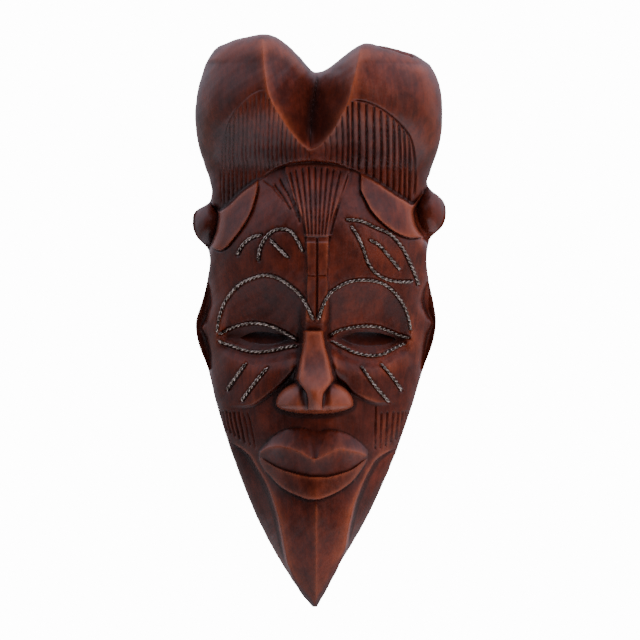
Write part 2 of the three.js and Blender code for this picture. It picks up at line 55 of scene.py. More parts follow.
body_low, body_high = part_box("mask_body")
CAMERA_DISTANCE = 5.0
SEEN_HEIGHT = 0.401
AIM_UP = 0.179
AIM_ACROSS = 0.0025
SENSOR = 36.0
aim = Vector((AIM_ACROSS, 0.0, body_low[2] + AIM_UP))


def put_in_scene(name, data):
    """A new object in the scene, at the origin."""
    piece = bpy.data.objects.new(name, data)
    bpy.context.scene.collection.objects.link(piece)
    return piece


camera = put_in_scene("camera", bpy.data.cameras.new("camera"))
camera.data.sensor_width = SENSOR
camera.data.lens = SENSOR * CAMERA_DISTANCE / SEEN_HEIGHT
camera.location = aim - Vector((0, CAMERA_DISTANCE, 0))
camera.rotation_euler = (math.radians(90), 0, 0)
bpy.context.scene.camera = camera


# ---------------------------------------------------------------- the carved block
# One block of hardwood, sawn to the outline of the crest, the knobs, the ears and the beard,
# carved on its front, hollowed from behind for a face, then stained, waxed and rubbed. Its flat
# back is narrower, so that the knobs and the ears stand clear of the wall.

MM = 0.001
CORNER_Z = 338.0


def through(points):
    """A smooth curve through (position, value) points, level past both ends."""
    spots, values = np.array(points, float).T
    slopes = np.gradient(values, spots)

    def curve(t):
        t = np.clip(t, spots[0], spots[-1])
        k = np.clip(np.searchsorted(spots, t) - 1, 0, len(spots) - 2)
        span = spots[k + 1] - spots[k]
        s = (t - spots[k]) / span
        rise = s * s * (3 - 2 * s)
        bend = s * (1 - s) * ((1 - s) * slopes[k] - s * slopes[k + 1]) * span
        return values[k] * (1 - rise) + values[k + 1] * rise + bend

    return curve


def ease(start, stop, t):
    """A smooth step from 0 at start to 1 at stop, which may be the smaller of the two."""
    share = np.clip((t - start) / (stop - start), 0, 1)
    return share * share * (3 - 2 * share)


def mix(a, b, share):
    return a + (b - a) * share


left_side = through([
    (0, -2.4), (10, -10.5), (23, -19.2), (54, -36), (91, -50.8), (128, -62.6), (150, -68),
    (165, -73.6), (178, -75), (190, -71.3), (203, -68), (219, -66.4), (223, -67.4), (231, -74.5),
    (240, -77), (248, -74), (252, -67), (256, -65.3), (266, -66.6), (277, -70), (290, -73.8),
    (308, -75.2), (322, -73.6), (332, -71), (CORNER_Z, -69)])
right_side = through([
    (0, 0.6), (10, 6.2), (23, 13), (54, 31), (91, 47.7), (128, 60.8), (150, 67.5), (165, 73),
    (178, 75), (190, 73.4), (203, 70.6), (226, 70), (230, 71.4), (237, 78.5), (246, 81.2),
    (254, 79), (260, 72), (264, 69.4), (271, 71.3), (290, 77.3), (308, 78.8), (322, 77.6),
    (332, 74.6), (CORNER_Z, 71)])
top_edge = through([
    (-69, CORNER_Z), (-64.5, 345.5), (-55, 351.4), (-44, 354.3), (-34, 356), (-27, 355.6),
    (-20, 351.6), (-10, 342.4), (-1, 333.6), (3, 333.6), (15, 341), (25, 348.3), (30, 350.2),
    (40, 349), (54, 346), (64.5, 342.3), (71, CORNER_Z)])
back_left = through([
    (0, -2.2), (10, -9), (23, -17), (54, -32.5), (91, -46.5), (128, -57.5), (165, -62.5),
    (203, -62.5), (240, -61.5), (266, -62.5), (290, -69.5), (308, -71), (CORNER_Z, -66)])
back_right = through([
    (0, 0.5), (10, 5), (23, 11), (54, 27.5), (91, 43.5), (128, 55.5), (165, 63), (203, 65),
    (240, 65), (266, 65.5), (290, 73), (308, 74.5), (CORNER_Z, 68)])

# The face and the crest end at these lines, and the ears and knobs lie lower, outside them.
face_left = through([
    (0, -2.4), (10, -10.5), (23, -19.2), (54, -36), (91, -50.8), (128, -62.6), (142, -65.4),
    (152, -65.8), (160, -66.3), (166, -68.2), (171, -70.2), (174.2, -71.4), (177.3, -70.2),
    (183, -67.6), (189, -65.9), (196, -66), (203, -67.4), (216, -66.6), (224, -65.4),
    (228, -63.8), (235, -61.6), (242, -60.3), (246, -60.5), (252, -64.4), (256, -65.3),
    (266, -66.6), (277, -70), (290, -73.8), (308, -75.2), (322, -73.6), (332, -71),
    (CORNER_Z, -69)])
face_right = through([
    (0, 0.6), (10, 6.2), (23, 13), (54, 31), (91, 47.7), (128, 60.8), (142, 65), (153, 66.3),
    (160, 67.2), (166, 68.4), (171, 70), (174.4, 71.4), (177.3, 72.6), (180.4, 70.8),
    (184, 68.4), (190, 66.4), (197, 67.2), (206, 70.2), (224, 69.8), (231, 66), (236, 62.6),
    (242, 60.6), (247, 60.2), (252, 62.4), (258, 66.6), (264, 69.4), (271, 71.3), (290, 77.3),
    (308, 78.8), (322, 77.6), (332, 74.6), (CORNER_Z, 71)])

# The head itself, without its ears and knobs.
head_left = through([
    (0, -2.4), (10, -10.5), (23, -19.2), (54, -36), (91, -50.8), (128, -62.6), (150, -66.8),
    (175, -68.8), (203, -67.6), (224, -66.2), (240, -65), (256, -65.3), (266, -66.6), (277, -70),
    (290, -73.8), (308, -75.2), (322, -73.6), (332, -71), (CORNER_Z, -69)])
head_right = through([
    (0, 0.6), (10, 6.2), (23, 13), (54, 31), (91, 47.7), (128, 60.8), (150, 66.4), (175, 69.6),
    (206, 70.2), (226, 69.6), (240, 68.6), (256, 68.4), (264, 69.4), (271, 71.3), (290, 77.3),
    (308, 78.8), (322, 77.6), (332, 74.6), (CORNER_Z, 71)])


# The carver first roughs out the forms: the two-lobed crest with a channel down its middle, the
# brow, the sunk eyes, the wedge of the nose, the full mouth and the keeled beard between panels.

NOTCH_Z = 282.7
channel_left = through([
    (NOTCH_Z, -3.1), (287, -8.4), (293, -13.9), (305, -22.3), (317, -28.6), (331, -31.4),
    (356, -33.5)])
channel_right = through([
    (NOTCH_Z, -3.1), (288, 3.6), (295, 9.8), (306, 15.8), (315, 20.2), (325, 22.6), (336, 25.2),
    (350, 28)])
crease = through([(NOTCH_Z, -3.6), (296, -3.4), (308, -2.5), (320, -0.6), (334, 1.3)])
crest_front = through([
    (240, 52), (262, 55), (276, 57.5), (290, 71), (305, 84), (318, 88), (335, 86), (356, 79)])
crease_front = through([(NOTCH_Z, 66), (300, 58), (334, 49)])
hairline = through([
    (-66, 253), (-64, 250.4), (-60.5, 246.4), (-57, 248), (-47.7, 256.7), (-34.7, 266.6),
    (-22.3, 273.4), (-6.8, 276.5), (1.2, 276.5), (11.2, 275.3), (21.7, 272.2), (34.1, 266.6),
    (46.5, 258.5), (55, 253.4), (60.5, 250.6), (64, 254.4), (67, 258.4)])
face_front = through([
    (0, 22), (12, 31), (30, 42), (50, 51), (68, 55), (90, 56), (112, 57), (140, 56), (160, 57),
    (177, 61), (195, 66), (212, 71), (228, 73), (243, 70), (258, 63), (277, 53), (300, 50)])

jaw_left = through([
    (8, -9.5), (14, -12.5), (25, -16.7), (46, -21.2), (57, -23.4), (68, -26.7), (79, -31.2),
    (88, -36.7), (96, -42.2), (103.5, -54), (107, -62)])
jaw_right = through([
    (6, 4), (12, 7.6), (33, 17), (53, 20.8), (64, 23.6), (77, 28.5), (86, 33), (93.6, 38.6),
    (99, 48.5), (104, 57)])
LOCK_LEFT = [
    (-64.5, 223.6), (-61, 221.6), (-56, 223.2), (-50.5, 229.4), (-44.9, 237.1), (-39.9, 246.4),
    (-37.2, 255.3), (-35.5, 263.6)]
LOCK_RIGHT = [
    (26.8, 260.4), (30.1, 253.6), (33.5, 247), (39, 240.4), (45.6, 234.9), (51.2, 231.5),
    (57.8, 229.4), (67, 230)]
lock_left = through(LOCK_LEFT)
lock_right = through(LOCK_RIGHT)
fold_left = through([
    (-44, 124.6), (-40, 125.4), (-33, 129.6), (-28.3, 133.4), (-23.5, 137), (-18.5, 142),
    (-13, 148.5)])
fold_right = through([
    (10.5, 147), (13.6, 142), (18, 138.8), (22.3, 134), (27.3, 130.8), (32.2, 128.4), (38, 126.5)])

lip_top = through([
    (-35.4, 97.3), (-27, 106.2), (-18.8, 110.9), (-9.9, 111.7), (0, 110), (8.7, 110.6),
    (18.6, 108.5), (27.3, 102.9), (32.2, 98)])
lip_peak = through([
    (-35.4, 96.6), (-30.4, 99.6), (-24.3, 100.9), (-17.7, 100.1), (-9.9, 97.3), (-1.1, 93.2),
    (6.7, 96.2), (14.4, 99.3), (20, 98.5), (28.3, 96.2), (32.2, 94.5)])
lip_part = through([
    (-35.4, 94), (-22.6, 86.8), (-14.3, 84.1), (-1.1, 81.6), (6.7, 81.8), (14.4, 83.5),
    (22.8, 86.6), (32.2, 93.5)])
lip_foot = through([
    (-35.4, 92), (-33.7, 88.6), (-28.8, 82.5), (-21.5, 75.2), (-13.3, 70.7), (-5.6, 68),
    (1.2, 67.7), (8.9, 70.2), (17.2, 74.6), (24.4, 80.7), (32.2, 92)])
MOUTH_CORNERS = (-35.4, 32.2)

EYES = [
    {
        "span": (-61.5, -9), "socket": ((-63, -54), (-5.5, -10.5)),
        "brow": through([
            (-61.5, 171), (-59.4, 183), (-56, 190.6), (-51, 197.2), (-44.5, 202.6),
            (-36.7, 205.6), (-29, 206.6), (-21.2, 203.8), (-14.6, 199), (-7.9, 191.4), (-2.9, 183)]),
        "upper": through([
            (-61.5, 168.4), (-50.5, 174.3), (-37.2, 177), (-29.9, 176), (-18.4, 170.3), (-9, 165)]),
        "lower": through([
            (-61.5, 167.4), (-50.5, 162.3), (-37.2, 158.9), (-31.1, 159.2), (-18.4, 162.1),
            (-9, 164.4)]),
    },
    {
        "span": (7, 59.5), "socket": ((3.5, 8.5), (61.5, 52)),
        "brow": through([
            (2, 180), (4.3, 187), (7, 193), (12.6, 198.8), (18.6, 202.4), (25.3, 203.7),
            (34.1, 204), (41.9, 201.9), (48.5, 196.6), (54.1, 189), (58, 179), (59.5, 171)]),
        "upper": through([
            (7, 168), (20.8, 174.1), (34.6, 175.5), (49.5, 170.8), (59.5, 166.8)]),
        "lower": through([
            (7, 166.6), (16.3, 162.4), (27, 157.9), (35.7, 156.8), (42.3, 158), (49.5, 161.6),
            (59.5, 165.6)]),
    },
]
nose_front = through([(121, 21), (127, 26), (134, 27.5), (143, 22.5), (150, 18), (165, 9), (173, 4.5)])
nose_middle = through([(121, -0.6), (143, -0.5), (153, -0.8), (162, -1.4), (172, -2)])
nose_half = through([
    (121, 4.9), (131, 5), (134, 5.8), (136.4, 7.4), (139.2, 9.5), (142, 10.7), (147, 10.2),
    (153, 9), (162, 7), (172, 5.5)])
WING_MIDDLE = (-0.8, 127)
WING_REACH, WING_ABOVE, WING_BELOW = 24.2, 15.5, 6.5
PANEL_TOP = 107
EAR_FOOT, EAR_HEAD = 148, 203
KNOBS = [((-67, 238.5), (11.5, 16)), ((70.5, 246), (12, 17))]
KNOB_EDGE, KNOB_RISE = 10, 25


def by_side(x, left, right):
    """One value left of the middle of the face, and another right of it."""
    return np.where(x < 0, left, right)


def dome(x, z, centre, radii):
    """Half an ellipsoid, 1 high in the middle."""
    across, up = (x - centre[0]) / radii[0], (z - centre[1]) / radii[1]
    return np.sqrt(np.maximum(0, 1 - across ** 2 - up ** 2))


def reach(x, z):
    """How far out towards the side of the head a point is, from 0 to 1."""
    return np.clip(by_side(x, x / head_left(z), x / head_right(z)), 0, 1)


def crest_form(x, z):
    def lobe(across):
        return crest_front(z) * (1 - 0.42 * reach(across, z) ** 2.4)

    edge_left, edge_right, middle = channel_left(z), channel_right(z), crease(z)
    share = np.where(x < middle, (middle - x) / np.maximum(middle - edge_left, 0.001),
                     (x - middle) / np.maximum(edge_right - middle, 0.001))
    inside = (z > NOTCH_Z) & (x > edge_left) & (x < edge_right)
    shoulder = lobe(np.where(x < middle, edge_left, edge_right))
    bottom = np.minimum(crease_front(z), lobe(middle))
    bead = 0.9 * ease(2.6, 0.2, np.abs(x - middle)) * ease(NOTCH_Z + 1, NOTCH_Z + 12, z)
    channel = mix(bottom, shoulder, np.clip(share, 0, 1)) + bead
    return np.where(inside, channel, lobe(x))


def face_form(x, z):
    fall = mix(0.6, 0.48, ease(190, 230, z))
    rounded = face_front(z) * (1 - fall * reach(x, z) ** 2.2)
    keel = face_front(z) + 5 - 0.5 * np.abs(x)
    return mix(keel, rounded, ease(55, 84, z))


def jaw_form(x, z):
    """The face, with a sunk panel on either side of the beard."""
    line = by_side(x, jaw_left(z), jaw_right(z))
    side = by_side(x, left_side(z), right_side(z))
    share = np.clip((x - line) / (side - line), 0, 1)
    outside = (z < PANEL_TOP) & (np.abs(x) > np.abs(line))
    rim = mix(14, 27, ease(5, 60, z))
    step = 5.5 * ease(0, 2.4, np.abs(x - line)) * (1 - 0.6 * share)
    panel = mix(face_form(line, z), rim, share ** 0.8) - step
    return np.where(outside, panel, face_form(x, z))


def along_slit(eye, x):
    """1 along the slit of an eye, easing to 0 at both corners."""
    start, stop = eye["span"]
    return ease(start, start + 14, x) * ease(stop, stop - 12, x)


def eye_form(x, z):
    """Sockets sunk under the brows, and lids that slope in to the slits like a funnel."""
    lift = 0
    for eye in EYES:
        (a, b), (c, d) = eye["socket"]
        lateral = ease(a, b, x) * ease(c, d, x)
        high, lid_top, lid_foot = eye["brow"](x), eye["upper"](x), eye["lower"](x)
        under_brow = 1 - np.clip((z - lid_top) / np.maximum(high - lid_top, 0.1), 0, 1) ** 1.7
        between = np.clip((z - lid_foot) / np.maximum(lid_top - lid_foot, 0.1), 0, 1)
        lids = mix(4, 7.5, between) + 4.5 * along_slit(eye, x) * np.sin(np.pi * between)
        pouch = ease(lid_foot - 3, lid_foot - 9, z) * ease(lid_foot - 26, lid_foot - 9, z)
        below = 4 * ease(lid_foot - 14, lid_foot, z) - 2 * pouch
        depth = np.where(z > lid_top, 7.5 * under_brow, np.where(z > lid_foot, lids, below))
        lift = lift - lateral * depth * (z < high)
    return lift


def nose_form(x, z):
    """A straight ridge that flares like an arrowhead over two rounded wings."""
    ends = ease(173, 171.6, z) * ease(120.5, 123.5, z)
    away = np.abs(x - nose_middle(z)) / nose_half(z)
    crown = (1 - 0.16 * np.minimum(away, 1) ** 2) * ease(1.35, 0.85, away)
    flank = 0.3 * ease(2.2, 1.0, away) * ease(138, 152, z) * ease(172, 160, z)
    ridge = nose_front(z) * np.maximum(crown, flank) * ends
    tall = np.where(z > WING_MIDDLE[1], WING_ABOVE, WING_BELOW)
    wing = dome(x, z, WING_MIDDLE, (WING_REACH, tall))
    cleft = 1 - 0.1 * ease(4.5, 0, np.abs(np.abs(x - WING_MIDDLE[0]) - 6.5))
    return np.maximum(ridge, 21.5 * wing ** 0.6 * cleft)


def mouth_form(x, z):
    """Full lips inside a rolled edge, with a shallow groove down to the cleft of the upper one."""
    high, peak, part, foot = lip_top(x), lip_peak(x), lip_part(x), lip_foot(x)
    start, stop = MOUTH_CORNERS
    centre, half = (start + stop) / 2, (stop - start) / 2
    size = np.sqrt(np.maximum(0, 1 - ((x - centre) / half) ** 2))
    skin = mix(9, 1.2, np.clip((z - peak) / np.maximum(high - peak, 0.1), 0, 1))
    upper = mix(4, 9.4, np.clip((z - part) / np.maximum(peak - part, 0.1), 0, 1) ** 1.3)
    lower = mix(3, 6.4, np.sqrt(np.clip((z - foot) / np.maximum(part - foot, 0.1), 0, 1)))
    form = np.where(z > peak, skin, np.where(z > part, upper, lower))
    wide = mix(2, 7, ease(93, 110, z))
    groove = 0.9 * np.maximum(0, 1 - ((x + 0.9) / wide) ** 2) * (z > peak)
    return (size * form - groove) * ((z < high) & (z > foot))


def cheek_form(x, z):
    """The cheeks, which swell above a fold that runs out from the nose."""
    above = z - by_side(x, fold_left(x), fold_right(x))
    lateral = by_side(x, ease(-60, -36, x) * ease(-10, -16, x), ease(56, 32, x) * ease(8, 13, x))
    return 3.4 * lateral * ease(-1, 2, above) * ease(30, 5, above)


def lock_form(x, z):
    """Two locks of hair that sweep down over the temples."""
    above = z - by_side(x, lock_left(x), lock_right(x))
    lateral = by_side(x, ease(-35.5, -37, x), ease(26.8, 28.4, x))
    return 2.6 * lateral * ease(0, 1.4, above)


def band_form(x, z):
    """The fan of hair over the brow, and the pair of bars that runs down from it."""
    half = mix(7, 20, ease(231, 272, z))
    cup = 0.9 * ease(226.6, 227.6, z) * ease(231.2, 230.2, z)
    return (1.8 - cup) * ease(half + 1, half - 0.6, np.abs(x - 0.8)) * ease(176, 180, z)


def outside_form(x, z, shelf):
    """The ears and the knobs, which stand out past the face and lie lower than it."""
    beyond = np.maximum(face_left(z) - x, x - face_right(z))
    width = by_side(x, face_left(z) - left_side(z), right_side(z) - face_right(z))
    share = np.clip(beyond / np.maximum(width, 0.5), 0, 1)
    wide = ease(0.3, 1.6, width)
    ear = (z > EAR_FOOT) & (z < EAR_HEAD)
    rim = np.where(ear, 1.5 * ease(0.35, 0.9, share), 0)
    by_knob = by_side(x, ease(221, 226, z) * ease(257, 252, z),
                      ease(228, 233, z) * ease(266, 260, z))
    drop = np.where(ear, 0.8, mix(7.5, 9.5, by_knob)) * ease(0, 1.6, beyond)
    low = shelf - (drop - rim) * wide
    knobs = np.maximum(*[dome(x, z, centre, radii) for centre, radii in KNOBS])
    return np.maximum(low, np.where(knobs > 0, KNOB_EDGE + KNOB_RISE * knobs, 0))


def forms(x, z):
    """How far the roughed-out front stands forward of the back."""
    inward = np.minimum(x - face_left(z), face_right(z) - x)
    edge = np.maximum(0, np.minimum(inward, top_edge(x) - z))
    face = (jaw_form(x, z) + eye_form(x, z) + nose_form(x, z) + mouth_form(x, z)
            + cheek_form(x, z) + lock_form(x, z) + band_form(x, z))
    depth = mix(face, crest_form(x, z), ease(-0.6, 1.4, z - hairline(x)))
    rounding = mix(5, 12, ease(255, 275, z))
    inset = 1 - np.minimum(edge / rounding, 1)
    depth = depth - rounding * (1 - np.sqrt(1 - inset * inset))
    outside = (x < face_left(z)) | (x > face_right(z))
    return np.where(outside, outside_form(x, z, depth), depth)


# Then come the strokes of small gouges and V tools: the grooves of the hair, the fan, the hatched
# cheeks, the lines that sharpen the edges, and the beds that the wires are pressed into.

def draw(points, spacing=1.0):
    """A smooth line through given points, as many short chords."""
    points = np.array(points, float)
    run = np.concatenate([[0], np.cumsum(np.hypot(*np.diff(points, axis=0).T))])
    t = np.linspace(0, run[-1], max(2, int(run[-1] / spacing) + 1))
    return np.stack([through(list(zip(run, points[:, k])))(t) for k in range(2)], 1)


def gouge(x, z, points, width, depth, round_tool=False, fade=0.06):
    """One pass of a V tool, or of a round gouge, along a line; it comes up at both ends."""
    line = draw(points)
    half = width / 2
    cut = np.zeros(x.shape)
    near = ((x > line[:, 0].min() - half) & (x < line[:, 0].max() + half)
            & (z > line[:, 1].min() - half) & (z < line[:, 1].max() + half))
    px, pz = x[near], z[near]
    gap = np.full(px.shape, width)
    along = np.zeros(px.shape)
    for k in range(len(line) - 1):
        (ax, az), (dx, dz) = line[k], line[k + 1] - line[k]
        t = np.clip(((px - ax) * dx + (pz - az) * dz) / (dx * dx + dz * dz), 0, 1)
        here = np.hypot(px - ax - t * dx, pz - az - t * dz)
        along = np.where(here < gap, (k + t) / (len(line) - 1), along)
        gap = np.minimum(gap, here)
    across = np.clip(gap / half, 0, 1)
    profile = 1 - across * across if round_tool else 1 - across
    ends = ease(0, fade, along) * ease(1, 1 - fade, along) if fade else 1
    cut[near] = depth * ends * profile
    return cut


def wander(n, k):
    """A small, repeatable offset for the nth stroke of a hand."""
    return np.sin(12.9898 * n + 78.233 * k) * 0.5 + np.sin(4.1 * n + 1.7 * k) * 0.5


PANEL_LEFT = [
    (-58.3, 249), (-59.2, 262), (-58.6, 280), (-57, 293), (-53.6, 303), (-47.7, 311.5),
    (-40.1, 318.4), (-33.5, 321.2), (-29.6, 321.4)]
PANEL_RIGHT = [
    (21.6, 314.6), (30, 313.6), (38, 310.6), (46, 305.4), (53, 299), (58.6, 291.6), (61.2, 281),
    (62, 268), (60.8, 254)]
HAIR_RIGHT = [5, 8.6, 12.2, 15.8, 19.4, 22.2, 26.2, 31, 35.6, 40, 44.2, 48, 51.6, 54.8, 57.6]
FAN = [
    ((-26, 263.4), (-15.5, 247.4)), ((-22.6, 266.8), (-12.6, 246.5)), ((-19, 269.4), (-11.2, 242)),
    ((-16.2, 271.2), (-10, 239)), ((-12.8, 272.4), (-6.6, 231.4)), ((-8.6, 273.8), (-4.6, 231)),
    ((-4.7, 274.4), (-2.6, 231)), ((-0.6, 274.6), (-0.4, 231)), ((3.3, 274.2), (1.7, 231)),
    ((7, 273.8), (3.6, 231)), ((10.8, 272.8), (5.6, 231)), ((15.2, 271.8), (7.4, 231)),
    ((20.4, 270.4), (9, 231.6))]
HATCH_HEAD, HATCH_MIDDLE = 122.6, 114
HATCH_LEFT = [-59.8, -58, -56.1, -53.9, -51.4, -48.6, -45.6, -42.6]
HATCH_RIGHT = [37.2, 40.9, 44.6, 48.3, 51.5, 54.2, 56.3, 57.9]


def hair_strokes(x, z):
    """Upright grooves of the hair: shallow and close on the left, bold on the right."""
    cut = np.maximum(gouge(x, z, PANEL_LEFT, 1.2, 0.5), gouge(x, z, PANEL_RIGHT, 1.8, 1.3))
    arc_left = through(sorted(PANEL_LEFT[1:]))
    arc_right = through(PANEL_RIGHT[:-2])
    for n, start in enumerate(np.arange(-56.5, -2, 2.75)):
        edge = np.interp(start, [-31, -29, -22.3, -13.5, -3.1], [325, 317.5, 305.5, 293.4, 283])
        top = min(float(arc_left(start)) - 1.5, float(edge) - 1)
        foot = float(hairline(start)) + 1.5
        lean = [0.35 * wander(n, 1), 0.4 * wander(n, 2) - 0.3]
        line = [(start + lean[0], top), (start + lean[1], (top + foot) / 2), (start - 0.2, foot)]
        cut = np.maximum(cut, gouge(x, z, line, 1.5, 0.55 + 0.2 * wander(n, 3), fade=0.03))
    for n, start in enumerate(HAIR_RIGHT):
        edge = np.interp(start, [-3, 9.8, 15.8, 21.6, 24], [283, 295, 306, 316, 330])
        top = min(float(arc_right(start)) - 0.5, float(edge) - 1)
        foot = float(hairline(start)) + 1.2
        bold = float(ease(6, 24, start))
        line = [(start + 0.3 * wander(n, 4), top), (start + 0.5 + 0.3 * wander(n, 5), (top + foot) / 2),
                (start + 0.2, foot)]
        cut = np.maximum(cut, gouge(x, z, line, 1.5 + 0.7 * bold, 0.5 + 1.0 * bold, fade=0.02))
    return cut


def fan_strokes(x, z):
    cut = np.zeros(x.shape)
    for n, ((ax, az), (bx, bz)) in enumerate(FAN):
        middle = ((ax + bx) * 0.485 + 0.25 * wander(n, 6), (az + bz) / 2)
        cut = np.maximum(cut, gouge(x, z, [(ax, az), middle, (bx, bz)], 2.0, 1.15, fade=0.02))
    return cut


def bar_strokes(x, z):
    cut = gouge(x, z, [(0.6, 230), (0.6, 206), (0.4, 180)], 2.0, 1.5, fade=0.01)
    left = [(-6.6, 231), (-6.4, 227), (-6, 216), (-5.8, 207), (-6.2, 199), (-5.9, 190)]
    right = [(8.8, 231), (8.2, 227), (7.8, 216), (7.4, 207), (7.8, 199), (7.4, 191)]
    for line in (left, right):
        cut = np.maximum(cut, gouge(x, z, line, 1.6, 1.3, fade=0.01))
    for line in ([(-5.6, 206.3), (0.2, 205.9)], [(1.2, 206.2), (7.2, 206.2)]):
        cut = np.maximum(cut, gouge(x, z, line, 1.1, 1.0, fade=0))
    return cut


def hatch_strokes(x, z):
    cut = np.zeros(x.shape)
    for n, start in enumerate(HATCH_LEFT):
        foot = float(np.interp(start, [-62, -55, -47, -42], [112, 105.5, 99.5, 97.5])) + 1
        lean = 0.22 * (122 - foot)
        line = [(start, HATCH_HEAD + wander(n, 7)), (start + lean * 0.4, HATCH_MIDDLE),
                (start + lean, foot)]
        cut = np.maximum(cut, gouge(x, z, line, 1.4, 1.25 if start < -47 else 0.6))
    for n, start in enumerate(HATCH_RIGHT):
        foot = float(np.interp(start, [37, 43, 49, 58], [96.5, 97.5, 101.5, 106])) + 1
        lean = 0.13 * (start - 36) * (122 - foot) / 22
        head = (126.5 if n == 0 else HATCH_HEAD) + wander(n, 8) / 2
        line = [(start, head), (start - lean * 0.4, HATCH_MIDDLE), (start - lean, foot)]
        cut = np.maximum(cut, gouge(x, z, line, 1.6, 1.4))
    return cut


def edge_strokes(x, z):
    """Single V lines that sharpen the edges of the raised forms."""
    under_hair = [
        (-60, 246.4), (-57, 248), (-47.7, 256.7), (-34.7, 266.6), (-22.3, 273.4), (-6.8, 276.5),
        (1.2, 276.5), (11.2, 275.3), (21.7, 272.2), (34.1, 266.6), (46.5, 258.5), (60, 250.8)]
    cut = gouge(x, z, under_hair, 1.3, 0.6)
    lines = [(LOCK_LEFT, 0.9), (LOCK_RIGHT, 0.9),
             ([(-33, 266), (-27.4, 262), (-23.6, 257.4), (-20.2, 252.4)], 0.7),
             ([(39, 348.4), (46, 346.8), (56, 344), (61, 342)], 1.6)]
    for line, depth in lines:
        cut = np.maximum(cut, gouge(x, z, line, 1.3, depth))
    return cut


def hand_marks(x, z):
    """The slight unevenness that a knife and a scraper leave all over."""
    drift = 0.9 * np.sin(x * 0.11 + 1.3) + 0.8 * np.sin(z * 0.083)
    broad = np.sin(x * 0.43 + drift * 1.7) * np.sin(z * 0.29 - drift)
    close = np.sin(x * 1.07 - z * 0.31 + drift * 2.3) * np.sin(z * 0.71 + x * 0.23)
    return 0.16 * broad + 0.06 * close


def strokes(x, z):
    return (hair_strokes(x, z) + fan_strokes(x, z) + bar_strokes(x, z) + hatch_strokes(x, z)
            + edge_strokes(x, z) + hand_marks(x, z))


# The lengths of twisted wire, as the lines across and up that they are bedded along.
WIRES = {
    "brow_wire_left": [
        (-61.7, 171.4), (-60.1, 180.4), (-57, 189.1), (-52.4, 195.9), (-46.5, 201.5), (-39.1, 205),
        (-30.4, 206.8), (-22.9, 204.6), (-16.1, 200.3), (-10.2, 195), (-5.3, 187.2), (-1.4, 178.8)],
    "brow_wire_right": [
        (1.5, 179.2), (4.7, 188.5), (8.1, 195), (14, 199.6), (20.4, 202.7), (30, 203.9),
        (38.4, 202.8), (44.6, 199.9), (49.9, 195), (54.6, 188), (57.4, 180.8), (59.1, 172.4)],
    "eye_wire_left_upper": [
        (-60.4, 170), (-55.2, 172.7), (-47.7, 175.6), (-39.7, 177.1), (-31, 176.2), (-22.3, 172.8),
        (-14.3, 168.3), (-11.8, 166.6)],
    "eye_wire_left_lower": [
        (-60.6, 165.8), (-53.9, 163.4), (-45.3, 160.4), (-36.6, 159), (-27.9, 159.8), (-19.2, 161.8),
        (-11.8, 163.1)],
    "eye_wire_right_upper": [
        (8.6, 169.2), (13.6, 172.2), (21.1, 174.2), (29.8, 175.4), (38.4, 174.8), (46.5, 172),
        (53.9, 169), (57.7, 167.8)],
    "eye_wire_right_lower": [
        (9.6, 165.9), (15.5, 162.8), (24.2, 158.7), (32.9, 156.9), (40.9, 157.5), (48.4, 161),
        (55.2, 164.6)],
    "cheek_wire_left_outer": [(-43.4, 152.2), (-50.2, 142.6), (-55.5, 135.2)],
    "cheek_wire_left_inner": [(-30.1, 149.4), (-37.2, 140.7), (-46.2, 128.7)],
    "cheek_wire_right_inner": [(27.9, 150.4), (35.3, 139.8), (45.6, 127.7)],
    "cheek_wire_right_outer": [(40, 151.9), (45.9, 145.4), (53.6, 134.9)],
    "leaf_wire_upper": [
        (18.9, 241.1), (27.3, 240.3), (36.6, 236.3), (45.9, 232.2), (52.7, 224.8), (59.5, 212),
        (64, 200.4)],
    "leaf_wire_lower": [
        (21.7, 237), (25.7, 231), (29.5, 222.3), (32, 214.8), (36.9, 208.3), (43.4, 204.5),
        (52, 202.9), (60.6, 203)],
    "leaf_wire_middle": [(33.2, 228.5), (37.8, 226.3), (44, 219.8), (52.4, 209.9)],
    "branch_wire_outer": [(-48.8, 219.3), (-44.6, 226.3), (-38.8, 230.4), (-33.8, 231.7)],
    "branch_wire_long": [
        (-35.8, 215.8), (-34.4, 223.6), (-31.3, 229.7), (-24.5, 234.8), (-16.7, 234.4),
        (-10.9, 227.2), (-8.1, 221.3)],
    "branch_wire_short": [(-28.3, 228.5), (-24.8, 225.1), (-17.1, 217.4)],
}
BED_WIDTH = 3.0
BED_DEPTH = 1.1


def wire_beds(x, z):
    cut = np.zeros(x.shape)
    for route in WIRES.values():
        cut = np.maximum(cut, gouge(x, z, route, BED_WIDTH, BED_DEPTH, round_tool=True, fade=0))
    return cut


# The front is one fine sheet raised to the forms and strokes; its rim is drawn back to the flat
# back, and the hollow for a wearer's face, the eye slits and the hanger's pocket are cut out of it.

COLUMNS, ROWS = 340, 760
SIDE_RINGS = 8
SIDE_CURVE = 3
MOST_TRIANGLES = 186000
SHARP_EDGE = math.radians(48)
BACK_Y = body_high[1]
TIP_Z = body_low[2]


def placed(x, forward, z):
    """Millimetres across, forward of the back and up from the tip, as a place in metres."""
    return np.stack([x * MM, BACK_Y - forward * MM, TIP_Z + z * MM], -1)


def plan(across, up, sides):
    """Where a point of the sheet (across -1 to 1, up 0 to 1) falls between two sides."""
    z = CORNER_Z * up
    x = mix(sides[0](z), sides[1](z), (across + 1) / 2)
    return x, z + ease(0.7, 1, up) * (top_edge(x) - CORNER_Z)


def vertex_places(mesh, kind="co"):
    """The places of a mesh's vertices, or their normals."""
    flat = np.empty(len(mesh.vertices) * 3)
    mesh.vertices.foreach_get(kind, flat)
    return flat.reshape(-1, 3)


def made_of(verts):
    return [v for v in verts if isinstance(v, bmesh.types.BMVert)]


def rim_of(edges):
    return [e for e in edges if isinstance(e, bmesh.types.BMEdge) and e.is_boundary]


